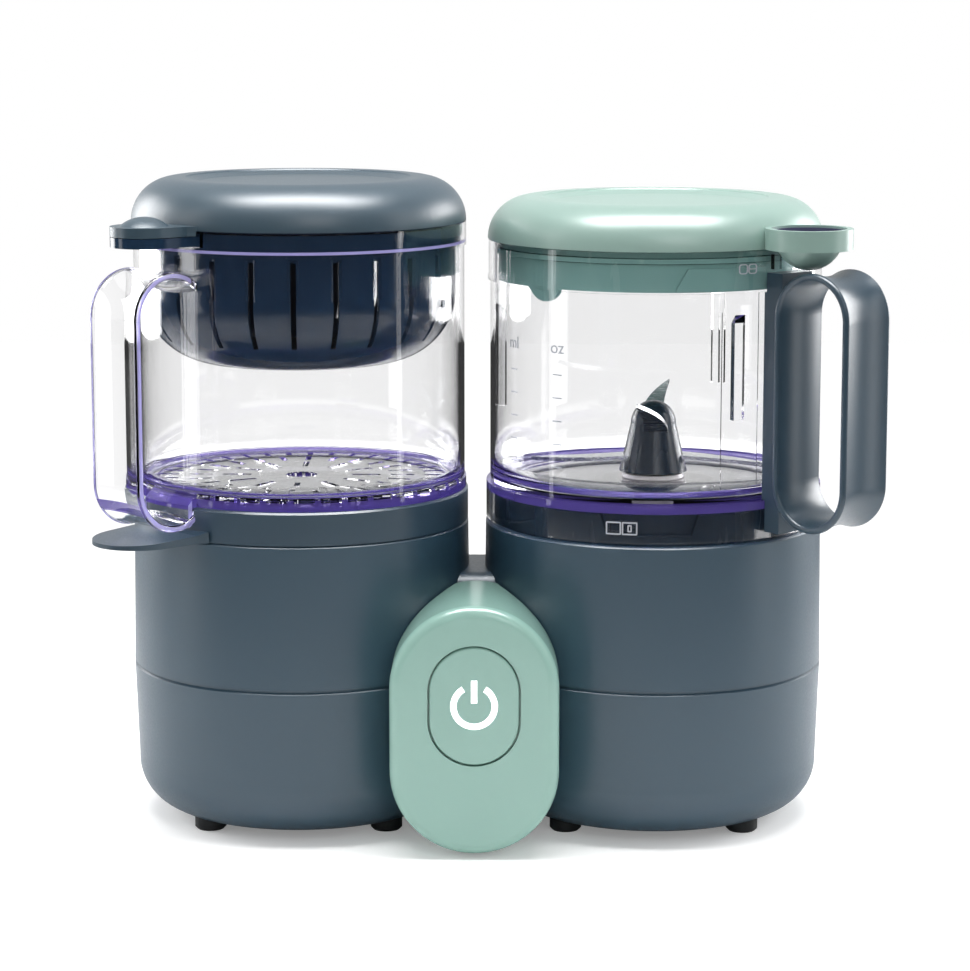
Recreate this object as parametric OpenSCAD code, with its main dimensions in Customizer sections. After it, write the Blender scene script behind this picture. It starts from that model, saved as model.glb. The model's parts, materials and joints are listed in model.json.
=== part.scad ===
/* [Layout] */
// Clear distance between the two round halves at the parting line
waist_gap = 5.2; // [3:0.1:12]
// Height of the parting line round the base
seam_z = 60; // [52:1:70]
// Height of the top deck of the base
deck_z = 114.6; // [106:0.1:122]
// Height of the feet that shows below the housing
foot_show = 3.2; // [2.5:0.1:5]

/* [Base housing] */
// Radius of each round half at the parting line, which the bowls, lids, ring, handles and motor follow
base_r = 65; // [60:0.5:72]
// How much the lower shell draws in from the parting line to the floor
lower_draft = 1.2; // [0.5:0.1:3]
// How much the upper shell draws in from the parting line to the deck
upper_draft = 0.8; // [0:0.1:2]
// Bottom edge radius of the lower shell
tub_fillet = 18.5; // [12:0.5:24]
// Wall of the housing shells
shell_wall = 2.5; // [2:0.1:3.5]
// Top of the bridge between the round halves
bridge_z = 96.5; // [85:0.5:104]
// Half depth of the bridge
bridge_half_y = 24; // [20:1:34]
// Edge radius of the bridge
bridge_edge = 7; // [5:1:16]
// Radius of a rubber foot
foot_r = 6; // [4:0.5:8]
// How far the feet's middles stand in from the side of their round half
foot_in = 17.6; // [16:0.1:24]
// Radius of the housing screws
screw_r = 1.5; // [1:0.1:2]

/* [Control panel] */
// Width of the panel
panel_w = 62.2; // [50:0.1:64]
// Height of the panel
panel_h = 93; // [80:0.1:98]
// Height of the panel's foot above the floor
panel_low_z = 1.8; // [1:0.1:5]
// How far the panel's face stands in front of the round halves
panel_out = 11; // [8:0.5:18]
// Width of the panel's soft edge, seen from the front
panel_edge = 3.8; // [2:0.1:6]
// Wall of the panel
panel_wall = 2.4; // [1.8:0.1:3]
// Width of the start button
button_w = 32.9; // [24:0.1:38]
// Height of the start button
button_h = 43.9; // [34:0.1:50]
// Height of the button's middle above the floor
button_z = 58; // [52:0.5:64]
// Gap round the button
button_gap = 0.6; // [0.3:0.05:0.8]
// Travel of the button
button_travel = 1.5; // [0.8:0.1:2]
// Outer radius of the lit ring symbol
symbol_r = 8.7; // [5:0.1:10]

/* [Water well and heater] */
// How far the water well's edge stands in from the side of the housing
well_in = 13; // [11.5:0.5:18]
// Depth of the well below the deck
well_depth = 13; // [9:0.5:16]
// Width of the well's floor round the stainless dish
dish_in = 14; // [11:0.5:20]

/* [Drip ring] */
// How far the drip ring stands in from the housing below it
ring_in = 0.9; // [0.4:0.1:1.6]
// Top of the drip ring
ring_top_z = 127.2; // [122:0.1:132]
// Radius of the ring's thumb tab
ring_tab_r = 17; // [12:0.5:20]
// Distance of that tab's middle from the ring's outside
ring_tab_out = 15.3; // [11:0.1:20]

/* [Steamer bowl] */
// How far the steamer bowl stands in from the housing below it
bowl_in = 2.2; // [2:0.1:3]
// Wall of both bowls
bowl_wall = 2.3; // [1.8:0.1:3]
// Top of the steamer bowl's rim
steam_rim_z = 229; // [215:0.5:240]
// Height of both bowls' rim bands
rim_band_h = 7.4; // [6:0.1:9]
// Number of outer steam slots in the bowl floor
floor_slots = 36; // [24:6:42]
// How far the steamer handle stands out from its bowl
steam_grip_far = 27.2; // [24:0.2:34]
// Width of the steamer handle's ribbon
steam_grip_w = 28; // [20:0.5:32]

/* [Steamer basket] */
// How far the basket's body stands in from the bowl's outside
basket_in = 3.3; // [3:0.1:6]
// Height of the basket's underside
basket_z = 176; // [160:1:180]
// Radius of the basket's bottom corner
basket_corner = 27; // [18:1:29]
// Wall of the basket
basket_wall = 1.9; // [1.5:0.1:2.5]
// Number of slots round the basket
basket_slots = 24; // [16:1:28]
// Width of a basket slot
basket_slot_w = 2.1; // [1.2:0.1:3]

/* [Lids] */
// How far both lids stand out over the steamer bowl's wall
lid_over = 0.7; // [0.5:0.1:1.2]
// Radius of the steamer lid's rounded edge
steam_lid_edge = 16.4; // [12:0.1:18]
// Radius of the blender lid's rounded edge
blend_lid_edge = 15.7; // [12:0.1:18]
// Wall of the lids
lid_wall = 2.2; // [1.8:0.1:3]
// Width of the lids' shoulder round their dished middle
lid_shoulder = 21; // [20:0.5:28]
// Radius of the steamer lid's tab and the basket's tab
lid_tab_r = 12.5; // [11:0.5:15]
// Distance of those tabs' middle from the lid's side
lid_tab_out = 10.7; // [8:0.1:13]
// Outer radius of the blender lid's cup tab
cup_r = 16; // [13:0.5:17]
// Distance of the cup's middle from the lid's side
cup_out = 12.1; // [10.5:0.1:14]

/* [Blender bowl] */
// How far the blender bowl stands in from the housing below it
blend_in = 2.5; // [2.2:0.1:3.5]
// Top of the blender bowl's rim
blend_rim_z = 222.3; // [210:0.5:232]
// How far the skirt under the blender bowl stands out from its wall
skirt_over = 1.5; // [1.2:0.1:1.9]
// Height of the skirt below the bowl floor
skirt_h = 12.4; // [10:0.2:14]
// How far the blender handle stands out from its bowl
grip_far = 41.9; // [38:0.2:48]
// Radial width of the blender handle's loop
grip_loop_w = 35; // [28:0.5:40]
// Width of the blender handle's ribbon
grip_w = 25; // [18:0.5:30]
// Top of the blender handle
grip_top_z = 216.2; // [200:0.2:217]
// Bottom of both handles
grip_low_z = 120.6; // [119:0.2:130]
// Thickness of the handle ribbons
ribbon_t = 2.6; // [2:0.1:3.5]
// How far the ribbons draw in at their middle
ribbon_sag = 2.2; // [0.5:0.1:3]

/* [Blades and drive] */
// Radius of the blade shaft
shaft_r = 3; // [2:0.1:4]
// Clear distance from the lower blades' tips to the bowl's outside
lower_blade_in = 15.5; // [10:0.5:24]
// Clear distance from the upper blades' tips to the bowl's outside
upper_blade_in = 26.5; // [20:0.5:34]
// Tilt of the upper blades
upper_tilt = 26; // [10:1:34]
// Tilt of the lower blades
lower_tilt = 4; // [0:1:6]
// Thickness of the blades
blade_t = 1.5; // [1:0.1:2]
// Gap between the motor and the housing's posts
motor_gap = 2.8; // [1:0.1:8]
// Length of the motor can
motor_h = 54; // [44:1:56]

/* [Hidden] */
$fn = 96;

// colours
slate = "#4b5a66";
slate_dark = "#2b3947";
mint = "#9cc5b7";
clear = [0.86, 0.87, 0.94, 0.35];
steel = "#c3c7ca";

// clearances
eps = 0.01;
face_gap = 0.3;   // between bodies that rest on each other
slip = 0.15;      // between pieces of one body that slide together
run = 0.04;       // radial clearance of a running shaft

// everything at 45 degrees: handles, tabs and feet
grid_a = 45;

// sizes that follow the housing
axis_gap = 2 * base_r + waist_gap;
panel_face_y = base_r + panel_out;
foot_pitch_r = base_r - foot_in;
well_r = base_r - well_in;
dish_r = well_r - dish_in;
ring_r = base_r - ring_in;
ring_tab_at = ring_r + ring_tab_out;
bowl_r = base_r - bowl_in;
basket_r = bowl_r - basket_in;
lid_r = bowl_r + lid_over;
lid_tab_at = lid_r + lid_tab_out;
dish_mid_r = lid_r - lid_shoulder;
cup_at = lid_r + cup_out;
blend_r = base_r - blend_in;
skirt_r = blend_r + skirt_over;
steam_grip_out = bowl_r + steam_grip_far;
grip_out = blend_r + grip_far;
lower_blade_r = blend_r - lower_blade_in;
upper_blade_r = blend_r - upper_blade_in;

// loops of the handles
grip_loop_r = grip_loop_w / 2;
grip_mid = grip_out - grip_loop_r;
steam_loop_r = 17.5;
steam_grip_mid = steam_grip_out - steam_loop_r;

// the origin is the middle of the whole outline on the floor
function ribbon_bow(half_w) = (pow(half_w, 2) + pow(ribbon_sag, 2)) / (2 * ribbon_sag);
function ribbon_end(loop_r, half_w) = loop_r - ribbon_sag + ribbon_bow(half_w) + ribbon_t / 2
    - sqrt(pow(ribbon_bow(half_w) + ribbon_t / 2, 2) - pow(half_w - ribbon_t / 2, 2));
function grip_reach(mid, loop_r, half_w) =
    (mid + ribbon_end(loop_r, half_w) + half_w - ribbon_t) * cos(grid_a) + ribbon_t / 2;
grip_corner = grip_reach(grip_mid, grip_loop_r, grip_w / 2);
steam_corner = grip_reach(steam_grip_mid, steam_loop_r, steam_grip_w / 2);
right_reach = axis_gap / 2 + max(grip_corner, cup_at * cos(grid_a) + cup_r);
left_reach = axis_gap / 2 + max(steam_corner, ring_tab_at * cos(grid_a) + ring_tab_r);
front_reach = max(panel_face_y, grip_corner, ring_tab_at * cos(grid_a) + ring_tab_r);
mid_x = (right_reach - left_reach) / 2;
mid_y = (base_r - front_reach) / 2;
steam_x = -axis_gap / 2 - mid_x;
blend_x = axis_gap / 2 - mid_x;
panel_x = -mid_x;
axis_y = -mid_y;

// base
shell_r_low = base_r - lower_draft;
shell_r_top = base_r - upper_draft;
seam_groove = 0.9;
seam_open = 0.7;
lip_h = 4;
deck_t = 2.6;
floor_in_z = foot_show + shell_wall;
foot_deep = 4;
foot_boss_r = foot_r + 1.6;
post_r = 4.2;
post_at = base_r - 25;
motor_r = post_at - post_r - motor_gap;
hole_clear = 0.15;
gland_z = 25;
gland_r = 7;
gland_bore = 3.4;

// panel
panel_r = panel_w / 2;
panel_mid_z = panel_low_z + panel_h / 2;
panel_straight = panel_h - panel_w;
panel_back_y = 26;
button_r = button_w / 2;
button_straight = button_h - button_w;
button_lift = panel_mid_z - button_z;
button_face_y = panel_face_y - 0.1;
button_depth = 4.2;
button_skin = 2.2;
flange_t = 1.2;
flange_over = 1.6;
plunger_r = 3;
guide_r = plunger_r + 1.2;
guide_clear = 0.2;
chassis_y = panel_face_y - 12;
chassis_t = 2.2;
board_y = chassis_y - chassis_t - 5.5;
board_t = 1.6;
board_w = 34;
board_h = 33;
switch_h = 2.6;
plunger_end_y = board_y + switch_h + button_travel + 0.15;
lamp_up = 7.4;
lamp_r = 2.4;
stem_w = 8;
stem_h = 9;
stem_low_z = 17;
stem_high_z = panel_mid_z + 28;
spring_wire = 0.4;
spring_r = 5.2;
spring_turns = 5;
spring_steps = 18;

// well and heater
well_floor_z = deck_z - well_depth;
dish_floor_z = well_floor_z - 1.2;
dish_t = 0.9;
seal_w = 2.2;
coil_r = dish_r - 9;

// bowl seat and drive
seat_r = skirt_r - 3.1;
seat_top_z = deck_z + 12.4;
seat_well_r = 25;
pin_at = seat_r - 9.5;
mount_z = deck_z - 19;
mount_t = 3;
motor_top_z = mount_z - face_gap;
motor_low_z = motor_top_z - motor_h;
motor_shaft_r = 4;
fan_z = motor_low_z - 15.5;
coupling_r = 13;
coupling_low_z = deck_z + 2.6;
coupling_top_z = deck_z + 10.4;
dog_r = 8.2;
dog_w = 4.4;
dog_clear = 0.35;
lug_span = 8.4;
twist_open = 18;
lug_z = deck_z + 4.2;
lug_h = 4.2;

// blender bowl
blend_floor_z = seat_top_z + 1.4;
blend_floor_t = 2.4;
skirt_low_z = blend_floor_z - skirt_h;
skirt_wall = 2.2;
bush_r = 8;
bush_flange_r = 12;
bush_low_z = blend_floor_z - 2.4;
bush_top_z = blend_floor_z + 11;
hub_r = 11;
hub_low_z = blend_floor_z + blend_floor_t + 2.6;
hub_top_z = hub_low_z + 27;
blade_low_z = hub_low_z + 5;
blade_high_z = hub_low_z + 15;
strap_half = 8.4;
key_out = blend_r + 4.7;
strap_top_z = grip_top_z - 2;
strap_low_z = grip_low_z - 2.2;
rib_a = [28, -75, 152];
rib_w = 4.2;
rib_deep = 2.4;
rib_low_z = blend_floor_z + 32;
rib_top_z = blend_floor_z + 72;
pad_a = [27.5, 62.5];
pad_t = 0.7;
lug_a = [-12.6, 107.4, 227.4];

// blender lid
blend_lid_z = blend_rim_z + face_gap;
liner_r = blend_r - bowl_wall - 1.1;
blend_ledge_z = blend_rim_z - rim_band_h - 7.6;
gasket_z = blend_rim_z - 4.2;
cup_top_z = blend_lid_z + 8;
cup_wall_z = blend_lid_z + 0.4;
cup_deep = 7.7;
cup_ball_r = 12.4;

// steamer stack
ring_low_z = deck_z + face_gap;
steam_low_z = ring_top_z + face_gap;
steam_floor_z = steam_low_z + 1.4;
steam_floor_t = 2.4;
spigot_r = bowl_r - 3.4;
rim_r = bowl_r + 0.7;
rim_in_r = bowl_r - bowl_wall + 1;
ledge_z = steam_rim_z - rim_band_h;
steam_grip_top_z = steam_rim_z - 13.6;
steam_grip_low_z = grip_low_z - 1.8;
tab_notch = lid_tab_r + 3.6;
basket_rim_z = steam_rim_z - 0.8;
basket_rim_low_z = ledge_z + face_gap;
basket_rim_r = rim_in_r - face_gap;
tab_t = 3.6;
basket_tab_z = steam_rim_z - 5.4;
lid_tab_z = basket_tab_z + tab_t + 0.25;
steam_lid_z = steam_rim_z + face_gap;

// ---------- helpers ----------

// ring of rectangular section round the axis
module ring(r_in, r_out, z0, z1) {
    rotate_extrude() translate([r_in, z0]) square([r_out - r_in, z1 - z0]);
}

// upright cylinder from z0 to z1
module post(r, z0, z1) {
    translate([0, 0, z0]) cylinder(r = r, h = z1 - z0);
}

// put something on the steamer axis or on the blender axis
module at_steamer() translate([steam_x, axis_y, 0]) children();
module at_blender() translate([blend_x, axis_y, 0]) children();

// local +X turned to the grid direction in front of each bowl
module to_left_grid() rotate([0, 0, -180 + grid_a]) children();
module to_right_grid() rotate([0, 0, -grid_a]) children();

// half section of a tub: round bottom corner, short upright band, drafted wall
module tub_section(r_low, r_top, z_low, z_top, fillet) {
    band = 2;
    difference() {
        polygon([[0, z_low], [r_low, z_low], [r_low, z_low + fillet + band], [r_top, z_top], [0, z_top]]);
        difference() {
            translate([r_low - fillet, z_low - 1]) square([fillet + 4, fillet + 1]);
            translate([r_low - fillet, z_low + fillet]) circle(fillet);
        }
    }
}

// bridge block between the two axes, flat on one side and round-edged on the other
module bridge_block(half_y, z_flat, z_round, edge) {
    up = z_round > z_flat ? 1 : -1;
    translate([steam_x, axis_y, 0]) rotate([90, 0, 90]) linear_extrude(axis_gap) union() {
        polygon([[-half_y, z_flat], [half_y, z_flat], [half_y, z_round - up * edge],
            [half_y - edge, z_round], [edge - half_y, z_round], [-half_y, z_round - up * edge]]);
        for (s = [-1, 1]) translate([s * (half_y - edge), z_round - up * edge]) circle(edge);
    }
}

// stadium solid that stands on z = 0 and has a rounded top edge
module stadium_solid(r, straight, depth, edge) {
    module section() difference() {
        square([r, depth]);
        difference() {
            translate([r - edge, depth - edge]) square(edge + 1);
            translate([r - edge, depth - edge]) circle(edge);
        }
    }
    for (s = [-1, 1]) translate([0, s * straight / 2, 0]) rotate_extrude() section();
    rotate([90, 0, 0]) linear_extrude(straight, center = true) union() {
        section();
        mirror([1, 0]) section();
    }
}

// plain stadium prism that stands on z = 0
module stadium_prism(r, straight, depth) {
    linear_extrude(depth) union() {
        square([2 * r, straight], center = true);
        for (s = [-1, 1]) translate([0, s * straight / 2]) circle(r);
    }
}

// local Z turned to face the viewer; local Y is up
module facing(y_front, z_mid) {
    translate([panel_x, axis_y - y_front, z_mid]) rotate([90, 0, 0]) children();
}

// tongue with a round end that grows out of a ring, along local +X
module tab_plan(r_mid, r_tip, r_root, flare) {
    union() {
        translate([r_mid, 0]) circle(r_tip);
        polygon([[r_root, -r_tip - flare], [r_root + 3.5, -r_tip - flare / 3], [r_mid, -r_tip],
            [r_mid, r_tip], [r_root + 3.5, r_tip + flare / 3], [r_root, r_tip + flare]]);
    }
}

// section of a handle ribbon: u away from the loop's middle, v across the ribbon
module ribbon_section(loop_r, half_w) {
    bow = ribbon_bow(half_w);
    u_mid = loop_r - ribbon_sag;
    flat_w = half_w - ribbon_t / 2;
    u_end = ribbon_end(loop_r, half_w);
    union() {
        intersection() {
            difference() {
                translate([u_mid + bow, 0]) circle(bow + ribbon_t, $fn = 192);
                translate([u_mid + bow, 0]) circle(bow, $fn = 192);
            }
            translate([u_mid - ribbon_t - 1, -flat_w]) square([ribbon_sag + ribbon_t + 3, 2 * flat_w]);
        }
        for (s = [-1, 1]) translate([u_end - ribbon_t / 2, s * flat_w]) circle(ribbon_t / 2, $fn = 32);
    }
}

// closed upright loop of ribbon in the local XZ plane, around x = mid
module ribbon_loop(mid, loop_r, half_w, z_low, z_top) {
    translate([mid, 0, 0]) union() {
        translate([0, 0, z_top - loop_r]) rotate([90, 0, 0])
            rotate_extrude(angle = 180) ribbon_section(loop_r, half_w);
        translate([0, 0, z_low + loop_r]) mirror([0, 0, 1]) rotate([90, 0, 0])
            rotate_extrude(angle = 180) ribbon_section(loop_r, half_w);
        for (side = [0, 1]) mirror([side, 0, 0]) translate([0, 0, z_low + loop_r])
            linear_extrude(z_top - z_low - 2 * loop_r) ribbon_section(loop_r, half_w);
    }
}

// block between two radii, over a span of angle about local +X
module arc_block(r_in, r_out, span, z0, z1) {
    rotate([0, 0, -span / 2]) rotate_extrude(angle = span)
        translate([r_in, z0]) square([r_out - r_in, z1 - z0]);
}

// star-shaped dog of three crossed bars
module dog_plan(r, w) {
    union() for (a = [0, 60, 120]) rotate(a) square([2 * r, w], center = true);
}

// half section of a domed lid with a dished middle, open below
module lid_dome(z_low, edge) {
    crest_z = z_low + edge;
    dish_deep = 1.8;
    mid_r = lid_r - edge;
    difference() {
        union() {
            translate([mid_r, z_low]) intersection() {
                circle(edge);
                square(edge + 1);
            }
            translate([0, z_low]) square([mid_r, edge]);
        }
        // inside of the shell
        translate([mid_r - eps, z_low - 1]) intersection() {
            translate([0, 1]) circle(edge - lid_wall);
            square([edge, edge + 1]);
        }
        translate([mid_r, z_low - 1]) square([edge - lid_wall, 1 + eps]);
        translate([-1, z_low - 1]) square([mid_r + 1, edge + 1 - lid_wall - dish_deep]);
        // shallow dish on top
        polygon([[-1, crest_z - dish_deep], [dish_mid_r - 5, crest_z - dish_deep],
            [dish_mid_r, crest_z - 0.5], [dish_mid_r + 1.6, crest_z + 1], [-1, crest_z + 1]]);
    }
}

// ---------- base ----------

// cavity of one tub or of the bridge is one wall inside the outline
module base_lower_shell() {
    color(slate) difference() {
        union() {
            difference() {
                union() {
                    for (x = [steam_x, blend_x]) translate([x, axis_y, 0]) rotate_extrude()
                        tub_section(shell_r_low, base_r, foot_show, seam_z, tub_fillet);
                    bridge_block(bridge_half_y, seam_z, foot_show, bridge_edge);
                }
                for (x = [steam_x, blend_x]) translate([x, axis_y, 0]) rotate_extrude()
                    tub_section(shell_r_low - shell_wall, base_r - shell_wall, floor_in_z, seam_z + 1,
                        tub_fillet - shell_wall);
                bridge_block(bridge_half_y - shell_wall, seam_z + 1, floor_in_z, bridge_edge - shell_wall);
                // fine groove along the parting line
                for (x = [steam_x, blend_x]) translate([x, axis_y, 0]) rotate_extrude()
                    polygon([[base_r - seam_groove, seam_z + eps], [base_r + 1, seam_z - 1.5],
                        [base_r + 1, seam_z + eps]]);
            }
            // bosses over the feet and posts for the screws
            for (x = [steam_x, blend_x], a = [45:90:315]) translate([x, axis_y, 0]) rotate(a) {
                translate([foot_pitch_r - 0.8, 0, 0])
                    post(foot_boss_r, floor_in_z - 0.15, foot_show + foot_deep + 2);
            }
            for (x = [steam_x, blend_x], a = [0:90:270]) translate([x, axis_y, 0]) rotate(a)
                translate([post_at, 0, 0]) post(post_r, floor_in_z - 1, 22);
        }
        for (x = [steam_x, blend_x], a = [45:90:315]) translate([x, axis_y, 0]) rotate(a)
            translate([foot_pitch_r, 0, 0]) post(foot_r + hole_clear, -1, foot_show + foot_deep);
        for (x = [steam_x, blend_x], a = [0:90:270]) translate([x, axis_y, 0]) rotate(a)
            translate([post_at, 0, 0]) {
                post(screw_r + hole_clear, 0, 30);
                post(2 * screw_r + 2 * hole_clear, 0, 16);
            }
        // seat of the cord gland in the rear wall of the steamer half
        translate([steam_x, axis_y + 40, gland_z]) rotate([-90, 0, 0]) cylinder(r = gland_r + slip, h = 40);
    }
}

module base_upper_shell() {
    color(slate) difference() {
        union() {
            difference() {
                union() {
                    for (x = [steam_x, blend_x]) translate([x, axis_y, 0]) rotate_extrude()
                        polygon([[0, seam_z], [base_r - seam_groove, seam_z],
                            [base_r - seam_groove, seam_z + seam_open], [base_r, seam_z + seam_open + 0.25],
                            [shell_r_top, deck_z - 0.6], [shell_r_top - 0.6, deck_z], [0, deck_z]]);
                    bridge_block(bridge_half_y, seam_z, bridge_z, bridge_edge);
                }
                for (x = [steam_x, blend_x]) translate([x, axis_y, 0]) rotate_extrude()
                    polygon([[0, seam_z - 1], [base_r - shell_wall, seam_z - 1],
                        [shell_r_top - shell_wall, deck_z - deck_t], [0, deck_z - deck_t]]);
                bridge_block(bridge_half_y - shell_wall, seam_z - 1, bridge_z - shell_wall, bridge_edge - shell_wall);
            }
            // lip that centres the lower shell
            for (x = [steam_x, blend_x]) translate([x, axis_y, 0]) difference() {
                ring(base_r - shell_wall - 1.8, base_r - shell_wall - face_gap, seam_z - lip_h, seam_z);
                translate([x < 0 ? base_r - 15 : -base_r - 1, -bridge_half_y - 1, seam_z - lip_h - 1])
                    cube([16, 2 * bridge_half_y + 2, lip_h + 3]);
            }
            for (x = [steam_x, blend_x]) translate([x, axis_y, 0]) difference() {
                rotate_extrude() polygon([[base_r - shell_wall - 1.8, seam_z - eps],
                    [base_r - shell_wall - 0.1, seam_z - eps], [base_r - shell_wall + 0.2, seam_z + 2],
                    [base_r - shell_wall - 1.8, seam_z + 2]]);
                translate([x < 0 ? base_r - 15 : -base_r - 1, -bridge_half_y - 1, seam_z - 1])
                    cube([16, 2 * bridge_half_y + 2, 4]);
            }
            // screw posts that come down to the lower shell's posts
            at_steamer() for (a = [0:90:270]) rotate(a) translate([post_at, 0, 0])
                post(post_r, 22, well_floor_z - 4.5);
            at_blender() for (a = [0:90:270]) rotate(a) translate([post_at, 0, 0])
                post(post_r, 22, mount_z);
            at_steamer() for (a = [0:90:270]) rotate(a) translate([post_at, -1.2, well_floor_z - 12])
                cube([shell_r_top - shell_wall / 2 - post_at, 2.4, 7.5]);
            at_blender() for (a = [0:90:270]) rotate(a) translate([post_at, -1.2, mount_z - 12])
                cube([shell_r_top - shell_wall / 2 - post_at, 2.4, 12]);
        }
        at_steamer() {
            post(well_r + slip, deck_z - deck_t - 1, deck_z + 1);
            for (a = [0:90:270]) rotate(a) translate([post_at, 0, 0]) post(screw_r, 21, 40);
        }
        at_blender() {
            post(seat_well_r + 3 + slip, deck_z - deck_t - 1, deck_z + 1);
            rotate(-30) translate([pin_at, 0, 0]) post(1.7, deck_z - deck_t - 1, deck_z + 1);
            for (a = [0:90:270]) rotate(a) translate([post_at, 0, 0]) post(screw_r, 21, 40);
        }
    }
}

module rubber_feet() {
    color("#22262a") for (x = [steam_x, blend_x], a = [45:90:315]) translate([x, axis_y, 0]) rotate(a)
        translate([foot_pitch_r, 0, 0]) rotate_extrude()
            polygon([[0, 0], [foot_r - 1, 0], [foot_r, 1], [foot_r, foot_show + foot_deep],
                [0, foot_show + foot_deep]]);
}

module housing_screws() {
    color(steel) for (x = [steam_x, blend_x], a = [0:90:270]) translate([x, axis_y, 0]) rotate(a)
        translate([post_at, 0, 0]) difference() {
            union() {
                post(screw_r - 0.05, 13, 36);
                post(2 * screw_r, 13.2, 16);
            }
            translate([0, 0, 12]) cylinder(r = screw_r * 0.9, h = 2.6, $fn = 6);
        }
}

// ---------- control panel ----------

// space kept free for the round halves behind the panel
module halves_clear(gap) {
    for (x = [steam_x, blend_x]) translate([x, axis_y, 0]) post(base_r + gap, -1, deck_z + 20);
}

module control_panel() {
    depth = panel_face_y - panel_back_y;
    color(mint) difference() {
        facing(panel_back_y, panel_mid_z) stadium_solid(panel_r, panel_straight, depth, panel_edge);
        facing(panel_back_y - 1, panel_mid_z)
            stadium_solid(panel_r - panel_wall, panel_straight, depth + 1 - panel_wall, panel_edge - panel_wall / 2);
        facing(panel_back_y, button_z)
            stadium_prism(button_r + button_gap, button_straight, depth + 1);
        halves_clear(0.2);
        bridge_block(bridge_half_y + 0.2, foot_show - 1, bridge_z + 0.2, bridge_edge);
    }
}

module panel_chassis() {
    color("#3a4046") difference() {
        union() {
            facing(chassis_y - chassis_t, panel_mid_z)
                stadium_prism(panel_r - panel_wall - face_gap, panel_straight, chassis_t);
            facing(chassis_y - eps, button_z) cylinder(r = guide_r, h = 4.6);
            // standoffs of the board
            for (x = [-1, 1], z = [-1, 1]) facing(board_y, button_z + z * (board_h / 2 - 3.5))
                translate([x * (board_w / 2 - 3.5), 0, 0])
                    cylinder(r = 2.4, h = chassis_y - chassis_t - board_y + eps);
            // stems that carry the panel on the bridge
            for (z = [stem_low_z, stem_high_z])
                translate([panel_x - stem_w / 2, axis_y - chassis_y + chassis_t - eps, z])
                    cube([stem_w, chassis_y - chassis_t - bridge_half_y + eps, stem_h]);
        }
        // bore of the button's plunger and window of the lamp
        facing(chassis_y - chassis_t - 1, button_z) cylinder(r = plunger_r + guide_clear, h = 12);
        facing(chassis_y - chassis_t - 1, button_z + lamp_up) cylinder(r = lamp_r, h = 12);
        for (z = [stem_low_z, stem_high_z]) facing(chassis_y - 12, z + stem_h / 2)
            cylinder(r = screw_r, h = 14);
    }
}

module panel_screws() {
    color(steel) for (z = [stem_low_z, stem_high_z]) facing(chassis_y - 11, z + stem_h / 2) difference() {
        union() {
            cylinder(r = screw_r - 0.05, h = 12);
            translate([0, 0, 11]) cylinder(r = 2 * screw_r, h = 1.8);
        }
        translate([0, 0, 11.8]) cylinder(r = screw_r * 0.9, h = 2, $fn = 6);
    }
}

module control_board() {
    color("#2f6b4a") translate([panel_x - board_w / 2, axis_y - board_y, button_z - board_h / 2])
        cube([board_w, board_t, board_h]);
}

module button_switch() {
    color("#1d1f22") facing(board_y, button_z) union() {
        translate([-3.1, -3.1, 0]) cube([6.2, 6.2, switch_h - 1]);
        cylinder(r = 1.7, h = switch_h);
    }
}

module symbol_led() {
    color("#fff7e0") facing(board_y, button_z + lamp_up) union() {
        cylinder(r = 1.5, h = 3);
        translate([0, 0, 3]) sphere(r = 1.5);
        cylinder(r = 2, h = 0.8);
    }
}

module start_button() {
    color(mint) difference() {
        union() {
            difference() {
                union() {
                    facing(button_face_y - button_depth, button_z)
                        stadium_solid(button_r, button_straight, button_depth, 0.8);
                    facing(panel_face_y - panel_wall - face_gap - flange_t, button_z)
                        stadium_prism(button_r + flange_over, button_straight, flange_t);
                }
                facing(button_face_y - button_depth - 1, button_z)
                    stadium_prism(button_r - 2.2, button_straight, button_depth + 1 - button_skin);
            }
            facing(plunger_end_y, button_z) cylinder(r = plunger_r, h = button_face_y - 1.5 - plunger_end_y);
        }
        // window behind the lit symbol and the seat of its inlay
        facing(button_face_y - 1.1, button_z) linear_extrude(2) symbol_plan(0.05);
    }
}

// ring with a gap at the top and an upright bar in it
module symbol_plan(grow) {
    union() {
        difference() {
            circle(symbol_r + grow);
            circle(symbol_r - 2.3 - grow);
            polygon([[0, 0], [-0.85 * symbol_r, 1.4 * symbol_r], [0.85 * symbol_r, 1.4 * symbol_r]]);
        }
        translate([-1.15 - grow, 1.2 - grow]) square([2.3 + 2 * grow, symbol_r - 0.2 + 2 * grow]);
    }
}

module button_symbol() {
    color("white") facing(button_face_y - 1.05, button_z) linear_extrude(1.05) symbol_plan(0);
}

// helical wire of the return spring, as rings swept along the coil
module button_spring() {
    rise = button_face_y - button_skin - chassis_y - 2 * spring_wire - 0.2;
    n = spring_turns * spring_steps;
    pts = [for (i = [0:n]) let (a = 360 * i / spring_steps, z = spring_wire + 0.1 + rise * i / n)
        for (k = [0:7]) let (b = 45 * k, r = spring_r + spring_wire * cos(b))
            [r * cos(a), r * sin(a), z + spring_wire * sin(b)]];
    faces = concat([[for (k = [0:7]) k]],
        [for (i = [0:n - 1], k = [0:7]) let (m = (k + 1) % 8)
            [8 * i + k, 8 * (i + 1) + k, 8 * (i + 1) + m, 8 * i + m]],
        [[for (k = [7:-1:0]) 8 * n + k]]);
    color(steel) facing(chassis_y, button_z) polyhedron(pts, faces, convexity = 8);
}

// ---------- inside the steamer half ----------

module power_board() {
    color("#2f6b4a") at_steamer() union() {
        translate([-26, -20, 26]) cube([52, 40, 1.6]);
        translate([-18, -12, 27.6]) cube([16, 14, 12]);
        translate([8, 0, 27.6]) post(6, 0, 16);
        for (x = [-1, 1], y = [-1, 1]) translate([x * 22, y * 16, floor_in_z]) cylinder(r = 2.2, h = 26 - floor_in_z);
    }
}

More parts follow.
